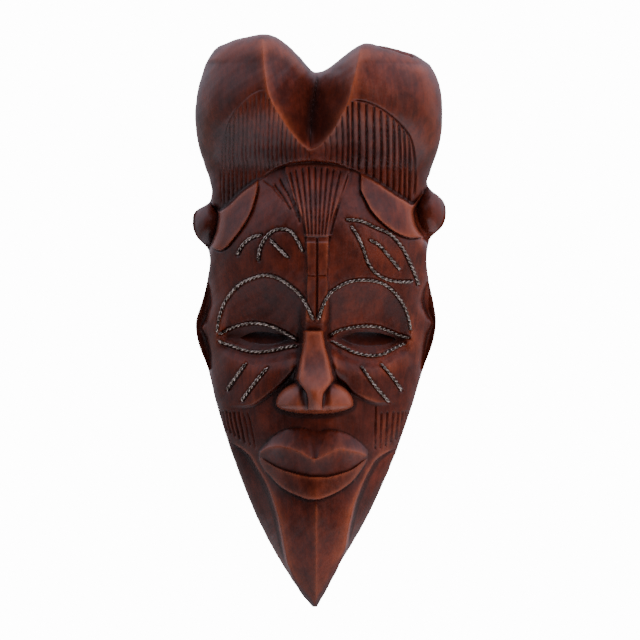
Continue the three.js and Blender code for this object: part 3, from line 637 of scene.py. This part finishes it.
sheet = bmesh.new()
bmesh.ops.create_grid(sheet, x_segments=COLUMNS, y_segments=ROWS, size=1)
across_of = sheet.verts.layers.float.new("across")
up_of = sheet.verts.layers.float.new("up")
for v in sheet.verts:
    v[across_of] = v.co.x
    v[up_of] = (v.co.y + 1) / 2
wood_mesh = bpy.data.meshes.new("carved_mask")
sheet.to_mesh(wood_mesh)
flat = vertex_places(wood_mesh)
x, z = plan(flat[:, 0], (flat[:, 1] + 1) / 2, (left_side, right_side))
roughed = placed(x, forms(x, z), z)
wood_mesh.vertices.foreach_set("co", roughed.ravel())
wood_mesh.update()
facing = vertex_places(wood_mesh, "normal")
facing *= -np.sign(facing[:, 1].mean())
carved = roughed - facing * ((strokes(x, z) + wire_beds(x, z)) * MM)[:, None]
wood_mesh.vertices.foreach_set("co", carved.ravel())
sheet.clear()
sheet.from_mesh(wood_mesh)
across_of = sheet.verts.layers.float["across"]
up_of = sheet.verts.layers.float["up"]

edges = rim_of(sheet.edges)
for ring in range(1, SIDE_RINGS + 1):
    forward = 1 - ring / SIDE_RINGS
    drawn = bmesh.ops.extrude_edge_only(sheet, edges=edges)["geom"]
    rim = made_of(drawn)
    across = np.array([v[across_of] for v in rim])
    up = np.array([v[up_of] for v in rim])
    front_x, front_z = plan(across, up, (left_side, right_side))
    back_x, _ = plan(across, up, (back_left, back_right))
    wide = 1 - (1 - forward) ** SIDE_CURVE
    drawn_to = placed(mix(back_x, front_x, wide), forms(front_x, front_z) * forward, front_z)
    for v, place in zip(rim, drawn_to):
        v.co = place
    edges = rim_of(drawn)
bmesh.ops.edgeloop_fill(sheet, edges=edges)
bmesh.ops.recalc_face_normals(sheet, faces=sheet.faces)
sheet.to_mesh(wood_mesh)
sheet.free()
mask = put_in_scene("carved_mask", wood_mesh)

WALL = 20.0
HOLLOW_FOOT, HOLLOW_HEAD = 30.0, 256.0
hollow_half = through([
    (HOLLOW_FOOT, 7), (36, 12), (60, 21), (95, 36), (130, 47), (165, 54), (200, 55), (232, 51),
    (250, 40), (HOLLOW_HEAD, 28)])
PAST_BACK = 5.0
BOWL_COLUMNS, BOWL_ROWS = 110, 200
SCOOP_WIDE, SCOOP_LONG = 10.5, 31


def hollow_depth(x, z):
    """How deep the hollow goes: the front less the wall, shallower towards its rim."""
    share = np.abs(x) / hollow_half(z)
    ends = ease(HOLLOW_FOOT - 6, 60, z) * ease(HOLLOW_HEAD + 8, 225, z)
    return np.maximum(3, (face_front(z) - WALL) * (1 - 0.85 * share ** 2.6) * ends)


def scoops(x, z):
    """Overlapping scoops of a broad gouge, which worked the hollow from both ends."""
    column = np.floor(x / SCOOP_WIDE + 0.5)
    across = 2 * (x / SCOOP_WIDE + 0.5 - column) - 1
    along = (z / SCOOP_LONG + 0.37 * column + 0.2 * np.sin(column * 2.1)) % 1
    return 1.0 * (1 - across * across) * np.sqrt(np.sin(np.pi * along))


def hollow_cutter():
    """The hollow as a solid that reaches out past the back."""
    bowl = bmesh.new()
    bmesh.ops.create_grid(bowl, x_segments=BOWL_COLUMNS, y_segments=BOWL_ROWS, size=1)
    for v in bowl.verts:
        z = mix(HOLLOW_FOOT, HOLLOW_HEAD, (v.co.y + 1) / 2)
        x = v.co.x * hollow_half(z)
        inner = ease(1, 0.8, abs(v.co.x)) * ease(HOLLOW_FOOT, 50, z) * ease(HOLLOW_HEAD, 236, z)
        v.co = placed(x, hollow_depth(x, z) + inner * (scoops(x, z) - 0.7), z)
    drawn = bmesh.ops.extrude_edge_only(bowl, edges=rim_of(bowl.edges))["geom"]
    for v in made_of(drawn):
        v.co.y = BACK_Y + PAST_BACK * MM
    bmesh.ops.edgeloop_fill(bowl, edges=rim_of(drawn))
    return bowl


SLITS = [
    [(-47.6, 167.8), (-39.4, 171.3), (-28.5, 171.2), (-16.4, 167), (-22.8, 164.4), (-31, 163.4),
     (-39.4, 164.6)],
    [(15, 167.4), (24.2, 171.2), (33, 171.6), (42.8, 170), (49.6, 167), (43.4, 163.9),
     (35.7, 162.6), (24.2, 163.4)],
]

# How far into the wood each ring of a slit lies, and how far up it has slid.
SLIT_RINGS = [(-14, 0), (0.4, 0), (1.8, 1.2), (3.6, 3.2), (8.5, 8.4), (11, 9.8), (26, 10)]


def slit_cutter(points):
    """A slit's outline drawn back through the wood; it slopes up to the eye of the wearer."""
    slit = bmesh.new()
    outline = draw(points + points[:1], 1.2)[:-1]
    front = forms(outline[:, 0], outline[:, 1])
    number = slit.verts.layers.int.new("number")
    bmesh.ops.create_circle(slit, cap_ends=True, segments=len(outline), radius=1)
    for k, v in enumerate(slit.verts):
        v[number] = k
    edges = rim_of(slit.edges)
    for deep, up in SLIT_RINGS:
        for v in {v for e in edges for v in e.verts}:
            k = v[number]
            v.co = placed(outline[k, 0], front[k] - deep, outline[k, 1] + up)
        if (deep, up) != SLIT_RINGS[-1]:
            edges = rim_of(bmesh.ops.extrude_edge_only(slit, edges=edges)["geom"])
    bmesh.ops.edgeloop_fill(slit, edges=edges)
    return slit


HINGE_UP = 310.0
POCKET_DEPTH, POCKET_HALF, POCKET_ABOVE, POCKET_BELOW = 7.5, 12.0, 14.0, 32.0


def pocket_cutter():
    """The pocket for the hanger: a box with rounded corners, open at the back."""
    pocket = bmesh.new()
    bmesh.ops.create_cube(pocket, size=1)
    low = placed(-POCKET_HALF, POCKET_DEPTH, HINGE_UP - POCKET_BELOW)
    high = placed(POCKET_HALF, -PAST_BACK, HINGE_UP + POCKET_ABOVE)
    for v in pocket.verts:
        v.co = [mix(low[k], high[k], v.co[k] + 0.5) for k in range(3)]
    upright = [e for e in pocket.edges if abs(e.verts[0].co.y - e.verts[1].co.y) > POCKET_DEPTH * MM]
    bmesh.ops.bevel(pocket, geom=upright, offset=3 * MM, segments=5, profile=0.5, affect="EDGES",
                    material=-1)
    return pocket


def applied(piece):
    """A piece's mesh with its modifiers worked in."""
    shown = piece.evaluated_get(bpy.context.evaluated_depsgraph_get())
    return bpy.data.meshes.new_from_object(shown)


def cut_from(piece, shapes):
    """Takes the shapes out of a piece."""
    tools = []
    for shape in shapes:
        bmesh.ops.recalc_face_normals(shape, faces=shape.faces)
        tool_mesh = bpy.data.meshes.new("cutter")
        shape.to_mesh(tool_mesh)
        shape.free()
        tool = put_in_scene("cutter", tool_mesh)
        cut = piece.modifiers.new("cut", "BOOLEAN")
        cut.operation = "DIFFERENCE"
        cut.solver = "MANIFOLD"
        cut.object = tool
        tools.append(tool)
    mesh = applied(piece)
    piece.modifiers.clear()
    piece.data = mesh
    for tool in tools:
        bpy.data.objects.remove(tool)


SCREW_DROPS = (15.0, 24.0)
SHANK_HOLE = 1.5


def drill_bit(up, depth):
    """A round bit along Y, wide enough for a screw's shank."""
    bit = bmesh.new()
    bmesh.ops.create_cone(bit, cap_ends=True, segments=32, radius1=SHANK_HOLE * MM,
                          radius2=SHANK_HOLE * MM, depth=depth * MM,
                          matrix=Matrix.Rotation(math.radians(90), 4, "X"))
    bmesh.ops.translate(bit, verts=bit.verts, vec=placed(0, POCKET_DEPTH, up))
    return bit


cut_from(mask, [hollow_cutter(), pocket_cutter()] + [slit_cutter(points) for points in SLITS]
         + [drill_bit(HINGE_UP - drop, 32) for drop in SCREW_DROPS])
triangles = sum(len(p.vertices) - 2 for p in mask.data.polygons)
thin = mask.modifiers.new("thin", "DECIMATE")
thin.ratio = min(1, MOST_TRIANGLES / triangles)
wood_mesh = applied(mask)
mask.modifiers.clear()
mask.data = wood_mesh
wood_mesh.name = "carved_mask"
wood_mesh.shade_smooth()
wood_mesh.set_sharp_from_angle(angle=SHARP_EDGE)

# Marks for the finish: how far each point stands above or below the wood round it, close by and
# more widely; whether it is raw wood at the back; how much painted shade darkens the walls of the
# eye slits and the lids; and how much it was buffed.
CELL = 0.5
CLOSE_REACH, WIDE_REACH = 1.3, 6
SLITS_HALF, SLITS_FOOT, SLITS_HEAD = 56, 155, 186
LID_SHADE = 0.42


def softened(field, reach_mm):
    """A field averaged over a round patch."""
    half = int(3 * reach_mm / CELL)
    steps = np.arange(-half, half + 1)
    weights = np.exp(-0.5 * (steps * CELL / reach_mm) ** 2)
    weights /= weights.sum()
    for axis in (0, 1):
        margins = [(half, half) if k == axis else (0, 0) for k in (0, 1)]
        wide = np.pad(field, margins, mode="edge")
        cells = np.arange(field.shape[axis])
        field = sum(w * np.take(wide, cells + k, axis=axis) for k, w in enumerate(weights))
    return field


def read_off(field, x, z):
    """The field's value at points between its cells."""
    column = np.clip((x - FIELD_X[0]) / CELL, 0, len(FIELD_X) - 1.001)
    row = np.clip((z - FIELD_Z[0]) / CELL, 0, len(FIELD_Z) - 1.001)
    i, j = column.astype(int), row.astype(int)
    s, t = column - i, row - j
    return mix(mix(field[j, i], field[j, i + 1], s), mix(field[j + 1, i], field[j + 1, i + 1], s), t)


FIELD_X = np.arange(-84, 88, CELL)
FIELD_Z = np.arange(-4, 362, CELL)
gx, gz = (a.ravel() for a in np.meshgrid(FIELD_X, FIELD_Z))
depths = (forms(gx, gz) - strokes(gx, gz)).reshape(len(FIELD_Z), len(FIELD_X))
close_by = softened(depths, CLOSE_REACH)
around = softened(depths, WIDE_REACH)
places = vertex_places(wood_mesh)
x, z = places[:, 0] / MM, (places[:, 2] - TIP_Z) / MM
forward = (BACK_Y - places[:, 1]) / MM
behind = ease(0.9, 4, read_off(depths, x, z) - forward)
in_hollow = ((np.abs(x) < hollow_half(z) + 0.4) & (forward < hollow_depth(x, z) + 1.4)
             & (z < HOLLOW_HEAD + 1))
in_pocket = ((forward < POCKET_DEPTH + 0.1) & (np.abs(x) < POCKET_HALF + 0.1)
             & (z > HINGE_UP - POCKET_BELOW - 1))
# Where painted shade goes: the walls of the eye slits, and the lids between their upper and lower
# lines.
shaded_slit_walls = behind * ((np.abs(x) < SLITS_HALF) & (z > SLITS_FOOT) & (z < SLITS_HEAD))
shaded_lids = sum(along_slit(eye, x) * ease(eye["lower"](x), eye["lower"](x) + 4, z)
              * ease(eye["upper"](x) + 1, eye["upper"](x) - 2, z) for eye in EYES)
outer = np.minimum(np.minimum(x - left_side(z), right_side(z) - x), top_edge(x) - z)
beyond = np.maximum(face_left(z) - x, x - face_right(z))
inland = (1 - behind) * ease(0.5, 6, outer) * ease(2.5, 0, beyond)
unwaxed = np.where((forward < 0.3) | (in_hollow & (behind > 0.5)) | in_pocket, 1.0, 0.0)
crest_and_brow = ease(208, 232, z)
nose = ease(28, 14, np.hypot(x, z - 130))
jaw_sides = ease(112, 96, z) * ease(14, 28, np.abs(x))
temples = ease(52, 62, np.abs(x)) * ease(90, 115, z)
buffed = np.clip(0.15 + crest_and_brow + nose + jaw_sides + temples, 0, 1)
marks = {
    "proud": np.clip(read_off(depths - close_by, x, z), -1, 1) * inland,
    "high": np.clip(read_off(close_by - around, x, z), -4, 4) * inland,
    "raw": unwaxed,
    "inside": np.maximum(shaded_slit_walls, LID_SHADE * shaded_lids),
    "polish": (1 - unwaxed) * buffed,
}
for name, values in marks.items():
    layer = wood_mesh.attributes.new(name, "FLOAT", "POINT")
    layer.data.foreach_set("value", values.astype(np.float32))


class Link:
    """A socket in a finish; sums and products of links add their own Math nodes."""

    def __init__(self, tree, socket=None):
        self.tree = tree
        self.socket = socket

    def node(self, kind, settings=None, sockets=None, output=0):
        """Any node: its settings are set first, then its sockets; gives one of its outputs."""
        made = self.tree.nodes.new("ShaderNode" + kind)
        for name, value in (settings or {}).items():
            setattr(made, name, value)
        for name, value in (sockets or {}).items():
            if isinstance(value, Link):
                self.tree.links.new(value.socket, made.inputs[name])
            else:
                made.inputs[name].default_value = value
        return Link(self.tree, made.outputs[output] if made.outputs else None)

    def maths(self, operation, first, second):
        return self.node("Math", {"operation": operation}, {0: first, 1: second})

    def __add__(self, other):
        return self.maths("ADD", self, other)

    def __sub__(self, other):
        return self.maths("SUBTRACT", self, other)

    def __rsub__(self, other):
        return self.maths("SUBTRACT", other, self)

    def __mul__(self, other):
        return self.maths("MULTIPLY", self, other)

    __radd__ = __add__
    __rmul__ = __mul__

    def between(self, low, high):
        """A smooth step from 0 at low to 1 at high."""
        return self.node("MapRange", {"interpolation_type": "SMOOTHSTEP"},
                         {"Value": self, "From Min": low, "From Max": high})

    def tint(self, first, second):
        """A colour that goes from the first to the second as this value goes from 0 to 1."""
        return self.node("Mix", {"data_type": "RGBA"}, {0: self, 6: first, 7: second}, output=2)

    def noise(self, scale, detail, stretch=(1, 1, 1)):
        """Noise on the object's own coordinates, in metres, drawn out by a stretch."""
        object_places = self.node("TexCoord", output="Object")
        drawn = self.node("Mapping", sockets={"Vector": object_places, "Scale": stretch})
        return self.node("TexNoise", sockets={"Vector": drawn, "Scale": scale, "Detail": detail,
                                              "Roughness": 0.6})

    def attribute(self, name):
        return self.node("Attribute", {"attribute_name": name}, output="Fac")


def new_finish(name):
    """An empty material, ready for its nodes."""
    material = bpy.data.materials.new(name)
    material.use_nodes = True
    material.node_tree.nodes.clear()
    return material, Link(material.node_tree)


def varnish(finish, sockets):
    """Closes a finish with its shader."""
    shader = finish.node("BsdfPrincipled", sockets=sockets)
    finish.node("OutputMaterial", sockets={"Surface": shader})


# The finish: red-brown stain, darkened in its grooves and hollows with painted shade, rubbed
# through to the orange wood on the high ridges, over upright grain with short dark pores. Painted
# shade also darkens the eye slits and the lids. The crest, brow, temples, nose and sides of the
# jaw are buffed to a sheen, and the back is raw and unwaxed.
STAIN_DARK = (0.030, 0.0042, 0.0018, 1)
STAIN = (0.088, 0.0125, 0.0048, 1)
STAIN_RED = (0.125, 0.0185, 0.0062, 1)
RUBBED = (0.270, 0.0600, 0.0230, 1)
# Near-black for the pores, and for the painted shade in the grooves and hollows; the next is the
# painted shade in the eyes.
PORE_DARK_AND_SHADE = (0.0120, 0.0024, 0.0014, 1)
EYE_SHADE = (0.0050, 0.0022, 0.0018, 1)
RAW_WOOD = (0.085, 0.034, 0.018, 1)
RAW_DARK = (0.030, 0.012, 0.007, 1)

wood_finish, wood = new_finish("stained_wood")
fibres = wood.noise(1, 5, (430, 430, 22))
fine_fibres = wood.noise(1, 3, (1900, 1900, 75))
pores = wood.noise(1, 2, (1300, 1300, 90)).between(0.66, 0.76)
cloud = wood.noise(30, 4)
mottle = wood.noise(170, 3)
rub = wood.noise(75, 5)
proud = wood.attribute("proud")
high = wood.attribute("high")
raw = wood.attribute("raw")
shade = fibres * 0.30 + cloud * 0.55 + mottle * 0.45
stain = shade.between(0.45, 0.86).tint(STAIN_DARK, STAIN)
ruddy = (fibres * 0.5 + rub * 0.5).between(0.35, 0.7).tint(stain, STAIN_RED)
stain = cloud.between(0.42, 0.68).tint(stain, ruddy)
lifted = proud * 0.9 + high * 0.15 + (rub - 0.5) * 0.7 + (fibres - 0.5) * 0.25
worn = lifted.between(0.05, 1.15)
# Painted shade: the finer grooves and the broader hollows are darkened towards near-black, the deeper
# they lie below the wood round them.
sunk = (proud * -1.5 + high * -0.09 + (rub - 0.5) * 0.3).between(0.15, 1.0)
colour = (worn * 0.62).tint(stain, RUBBED)
colour = (sunk * 0.75).tint(colour, PORE_DARK_AND_SHADE)
# Painted shade: the walls of the eye slits go almost black, and the lids darker.
colour = (wood.attribute("inside") * 0.9).tint(colour, EYE_SHADE)
colour = (pores * 0.5).tint(colour, PORE_DARK_AND_SHADE)
raw_colour = (fibres * 0.6 + mottle * 0.4).between(0.35, 0.65).tint(RAW_DARK, RAW_WOOD)
colour = raw.tint(colour, raw_colour)
rough = 0.40 + (mottle - 0.5) * 0.22 + sunk * 0.22 + (fine_fibres - 0.5) * 0.14
rough = rough + raw * (0.75 - rough)
relief = fibres * 0.35 + fine_fibres * 0.35 + mottle * 0.5 - pores * 0.4
bump = wood.node("Bump", sockets={"Height": relief, "Strength": 0.55, "Distance": 0.00035})
varnish(wood, {"Base Color": colour, "Roughness": rough, "Normal": bump, "Specular IOR Level": 0.35,
               "Coat Weight": wood.attribute("polish") * 0.62, "Coat Roughness": 0.34})
wood_mesh.materials.clear()
wood_mesh.materials.append(wood_finish)
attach(mask, "mask")
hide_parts("mask_body")


# ---------------------------------------------------------------- the twisted wires
# Each inlay is a pair of soft steel wires twisted together, laid along its bed so that it stands
# proud of the wood, with both ends bent in and pushed into the grain.

STRAND_RADIUS = 0.55
TWIST_PITCH = 5.6
POINTS_PER_TURN = 14
WIRE_PROUD = 0.35
END_BEND = 1.6
END_DEPTH = 1.0
EVENED_OVER = 3.0
STRAND_ROUNDNESS = 2


def bent_wire(name, lines, radius, roundness):
    """The mesh of one or more round wires bent along lines of places."""
    lay = bpy.data.curves.new(name, "CURVE")
    lay.dimensions = "3D"
    lay.bevel_depth = radius * MM
    lay.bevel_resolution = roundness
    lay.use_fill_caps = True
    for line in lines:
        spline = lay.splines.new("POLY")
        spline.points.add(len(line) - 1)
        spline.points.foreach_set("co", np.column_stack([line, np.ones(len(line))]).ravel())
    laid = put_in_scene(name + "_lay", lay)
    mesh = applied(laid)
    bpy.data.objects.remove(laid)
    mesh.name = name
    return mesh


def wire_axis(route, spacing):
    """The line of a wire on the wood, in metres, with the way out of the wood at each point."""
    line = draw(route, spacing)
    x, z = line.T
    steps = int(EVENED_OVER / spacing)
    window = np.ones(2 * steps + 1) / (2 * steps + 1)

    def evened(values):
        return np.convolve(np.pad(values, steps, mode="edge"), window, "valid")

    forward = evened(forms(x, z))
    slope_x = np.clip((forms(x + 1, z) - forms(x - 1, z)) / 2, -1, 1)
    slope_z = np.clip((forms(x, z + 1) - forms(x, z - 1)) / 2, -1, 1)
    out = -np.stack([evened(slope_x), np.ones(len(x)), evened(slope_z)], 1)
    out /= np.linalg.norm(out, axis=1)[:, None]
    run = np.arange(len(line)) * spacing
    sink = END_DEPTH * (1 - ease(0, END_BEND, run) * ease(run[-1], run[-1] - END_BEND, run))
    return placed(x, forward, z) + out * ((WIRE_PROUD - sink) * MM)[:, None], out


def twisted_wire(name, route):
    """Two strands that turn about the line of a wire."""
    spacing = TWIST_PITCH / POINTS_PER_TURN
    axis, out = wire_axis(route, spacing)
    way = np.gradient(axis, axis=0)
    way /= np.linalg.norm(way, axis=1)[:, None]
    side = np.cross(way, out)
    turn = -2 * np.pi * np.arange(len(axis)) / POINTS_PER_TURN
    strands = [axis + STRAND_RADIUS * MM * (np.cos(turn + half)[:, None] * out
                                            + np.sin(turn + half)[:, None] * side)
               for half in (0, np.pi)]
    mesh = bent_wire(name, strands, STRAND_RADIUS, STRAND_ROUNDNESS)
    mesh.shade_smooth()
    return put_in_scene("twisted_" + name, mesh)


STEEL = (0.78, 0.69, 0.60, 1)
STEEL_DULL = (0.09, 0.07, 0.05, 1)
wire_finish, wire = new_finish("dull_steel_wire")
tarnish = wire.noise(420, 4)
grime = wire.noise(1100, 3)
varnish(wire, {
    "Base Color": (tarnish * 0.6 + grime * 0.4).between(0.37, 0.61).tint(STEEL, STEEL_DULL),
    "Metallic": 1.0, "Roughness": 0.08 + tarnish * 0.12,
    "Normal": wire.node("Bump", sockets={"Height": grime, "Strength": 0.15, "Distance": 0.0001})})

for name, route in WIRES.items():
    piece = twisted_wire(name, route)
    piece.data.materials.append(wire_finish)
    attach(piece, "mask")
    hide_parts(name)


# ---------------------------------------------------------------- the hanger: strap
# A strip of plated sheet steel folded round the ring's bar, in the pocket behind the crest, where
# two screws hold it.

HINGE_FORWARD = 4.6
BORE, SHEET = 1.4, 1.2
CURL_STEPS = 36
CORNER_TURN = 1.0
SHARP_CORNER = math.radians(35)
STRAP_WIDTH, STRAP_LENGTH = 9.0, 29.0
CURL = math.radians(292)
EDGE_ROUND = 0.2
hinge = Vector(placed(0, HINGE_FORWARD, HINGE_UP))


def set_down(shape, name, finish, body, holes=()):
    """Makes a finished piece of a shape, bored through where it has holes."""
    bmesh.ops.recalc_face_normals(shape, faces=shape.faces)
    mesh = bpy.data.meshes.new(name)
    shape.to_mesh(mesh)
    shape.free()
    piece = put_in_scene("finished_" + name, mesh)
    if holes:
        cut_from(piece, holes)
    piece.data.shade_smooth()
    piece.data.set_sharp_from_angle(angle=SHARP_CORNER)
    piece.data.materials.clear()
    piece.data.materials.append(finish)
    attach(piece, body)
    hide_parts(name)


ZINC = (0.62, 0.60, 0.55, 1)
ZINC_WORN = (0.30, 0.26, 0.20, 1)
plate_finish, plate = new_finish("plated_steel")
scuffs = plate.noise(300, 4, (1, 1, 0.25))
spots = plate.noise(900, 3)
varnish(plate, {
    "Base Color": (scuffs * 0.6 + spots * 0.4).between(0.42, 0.62).tint(ZINC, ZINC_WORN),
    "Metallic": 1.0, "Roughness": 0.25 + scuffs * 0.25,
    "Normal": plate.node("Bump", sockets={"Height": spots, "Strength": 0.2, "Distance": 0.0001})})

strap = bmesh.new()
bmesh.ops.create_grid(strap, x_segments=1, y_segments=1, size=0.5)
bmesh.ops.scale(strap, verts=strap.verts, vec=(STRAP_WIDTH * MM, SHEET * MM, 1))
bmesh.ops.translate(strap, verts=strap.verts,
                    vec=placed(0, HINGE_FORWARD + BORE + SHEET / 2, HINGE_UP - STRAP_LENGTH))
drawn = bmesh.ops.extrude_edge_only(strap, edges=rim_of(strap.edges))["geom"]
bmesh.ops.translate(strap, verts=made_of(drawn), vec=(0, 0, STRAP_LENGTH * MM))
curled = bmesh.ops.spin(strap, geom=rim_of(drawn), cent=hinge, axis=(1, 0, 0), angle=-CURL,
                        steps=CURL_STEPS)
bmesh.ops.edgeloop_fill(strap, edges=rim_of(curled["geom_last"]))
bmesh.ops.recalc_face_normals(strap, faces=strap.faces)
corners = [e for e in strap.edges if e.calc_face_angle(0) > CORNER_TURN]
bmesh.ops.bevel(strap, geom=corners, offset=EDGE_ROUND * MM, segments=2, profile=0.5,
                affect="EDGES", material=-1)
set_down(strap, "hanger_strap", plate_finish, "mask",
         [drill_bit(HINGE_UP - drop, 8) for drop in SCREW_DROPS])


# ---------------------------------------------------------------- the hanger: ring
# A D-shaped ring of bent round wire; its straight side turns in the strap's barrel, where its two
# ends butt together.

RING_WIRE = 1.0
RING_ROUNDNESS = 6
RING_HALF, RING_LEG = 7.0, 3.0
bends = [(0.1, 0), (2.8, 0), (5.2, -0.05), (6.6, -0.7), (RING_HALF, -2), (RING_HALF, -RING_LEG)]
bends += [(RING_HALF * math.cos(t), -RING_LEG - RING_HALF * math.sin(t))
          for t in np.radians(range(10, 91, 10))]
half_ring = draw(bends, 0.25)
ring_line = np.vstack([half_ring, half_ring[-2::-1] * (-1, 1)])
level = np.full(len(ring_line), HINGE_FORWARD)
ring_places = placed(ring_line[:, 0], level, HINGE_UP + ring_line[:, 1])
ring = bmesh.new()
ring.from_mesh(bent_wire("bent_ring", [ring_places], RING_WIRE, RING_ROUNDNESS))
set_down(ring, "hanger_ring", plate_finish, "ring")


# ---------------------------------------------------------------- the hanger: screws
# Two slotted pan-head wood screws hold the strap to the floor of the pocket.

SEAT_FORWARD = 5.7
HEAD_TOP = 1.6
SHANK = [(0, -13), (1.2, -9), (1.2, 0)]
HEAD = [(2.75, 0), (2.9, 0.15), (2.9, 0.64), (2.75, 1.0), (2.03, 1.38), (1.1, 1.56), (0, HEAD_TOP)]
SLOT_LONG, SLOT_WIDE, SLOT_DEEP = 8, 0.9, 0.8
STEEL_BRIGHT = (0.55, 0.52, 0.46, 1)
STEEL_DARK = (0.22, 0.19, 0.15, 1)

screw_finish, bright = new_finish("screw_steel")
rubbing = bright.noise(1400, 3, (0.2, 1, 1))
varnish(bright, {
    "Base Color": rubbing.between(0.35, 0.7).tint(STEEL_BRIGHT, STEEL_DARK),
    "Metallic": 1.0, "Roughness": 0.28 + rubbing * 0.2,
    "Normal": bright.node("Bump", sockets={"Height": rubbing, "Strength": 0.2, "Distance": 0.00008})})

for name, drop in zip(("hanger_screw_upper", "hanger_screw_lower"), SCREW_DROPS):
    screw = bmesh.new()
    rim = [screw.verts.new((r * MM, 0, h * MM)) for r, h in SHANK + HEAD]
    edges = [screw.edges.new(pair) for pair in zip(rim, rim[1:])]
    bmesh.ops.spin(screw, geom=rim + edges, cent=(0, 0, 0), axis=(0, 0, 1), angle=2 * math.pi, steps=40,
                   use_merge=True)
    bmesh.ops.remove_doubles(screw, verts=screw.verts, dist=1e-7)
    slot = bmesh.new()
    bmesh.ops.create_cube(slot, size=MM)
    bmesh.ops.scale(slot, verts=slot.verts, vec=(SLOT_LONG, SLOT_WIDE, 2 * SLOT_DEEP))
    bmesh.ops.translate(slot, verts=slot.verts, vec=(0, 0, HEAD_TOP * MM))
    turned_back = Matrix.Rotation(math.radians(-90), 4, "X")
    seat = Matrix.Translation(placed(0, SEAT_FORWARD, HINGE_UP - drop)) @ turned_back
    bmesh.ops.transform(screw, verts=screw.verts, matrix=seat)
    bmesh.ops.transform(slot, verts=slot.verts, matrix=seat)
    set_down(screw, name, screw_finish, "mask", [slot])


# ---------------------------------------------------------------- studio
# A pale floor well below, a pale room all round that is brightest overhead, a cool soft light
# above and in front of the mask, and a warmer, stronger one low down on the viewer's right.

FLOOR_DROP = 0.5
FLOOR_RADIUS = 1.1
FLOOR_LIGHT = (0.66, 0.66, 0.65, 1)
FLOOR_DARK = (0.62, 0.62, 0.61, 1)
floor_shape = bmesh.new()
bmesh.ops.create_circle(floor_shape, cap_ends=True, segments=96, radius=FLOOR_RADIUS)
bmesh.ops.translate(floor_shape, verts=floor_shape.verts, vec=(0, 0, TIP_Z - FLOOR_DROP))
floor_mesh = bpy.data.meshes.new("floor")
floor_shape.to_mesh(floor_mesh)
floor_shape.free()
floor = put_in_scene("floor", floor_mesh)
floor_finish, paint = new_finish("pale_floor")
varnish(paint, {"Base Color": paint.noise(3, 2).tint(FLOOR_DARK, FLOOR_LIGHT), "Roughness": 0.9})
floor_mesh.materials.append(floor_finish)

LOW_AIR = (0.30, 0.26, 0.25, 1)
HIGH_AIR = (1.08, 1.02, 1.24, 1)
DIM_AIR = (0.055, 0.045, 0.045, 1)
WHITE = (1, 1, 1, 1)
AIR_STRENGTH = 0.85
BACKDROP_STRENGTH = 14.0
room = bpy.data.worlds.new("pale_room")
bpy.context.scene.world = room
room.use_nodes = True
room.node_tree.nodes.clear()
air = Link(room.node_tree)
direction = air.node("TexCoord", output="Generated")
height = air.node("SeparateXYZ", sockets={"Vector": direction}, output="Z")
ahead = air.node("SeparateXYZ", sockets={"Vector": direction}, output="Y") * -1
ahead = (ahead - height * 0.15).between(0.20, 0.85)
round_about = height.between(-0.6, 0.9).tint(LOW_AIR, HIGH_AIR)
sky = ahead.tint(round_about, DIM_AIR)
lit = air.node("Background", sockets={"Color": sky, "Strength": AIR_STRENGTH})
seen = air.node("Background", sockets={"Color": WHITE, "Strength": BACKDROP_STRENGTH})
looked_at = air.node("LightPath", output="Is Camera Ray")
round_air = air.node("MixShader", sockets={0: looked_at, 1: lit, 2: seen})
air.node("OutputWorld", sockets={"Surface": round_air})

LAMPS = [
    ("overhead", (0.25, -0.75, 1.25), (1.9, 1.2), 18, (0.92, 0.95, 1.0)),
    ("front", (1.7, -1.75, 0.0), (1.5, 1.5), 54, (1.0, 0.93, 0.88)),
]
for name, place, size, power, colour in LAMPS:
    light = bpy.data.lights.new(name, "AREA")
    light.shape = "RECTANGLE"
    light.size, light.size_y = size
    light.energy = power
    light.color = colour
    lamp = put_in_scene(name, light)
    lamp.location = place
    lamp.visible_glossy = False
    lamp.rotation_euler = (aim - Vector(place)).to_track_quat("-Z", "Y").to_euler()
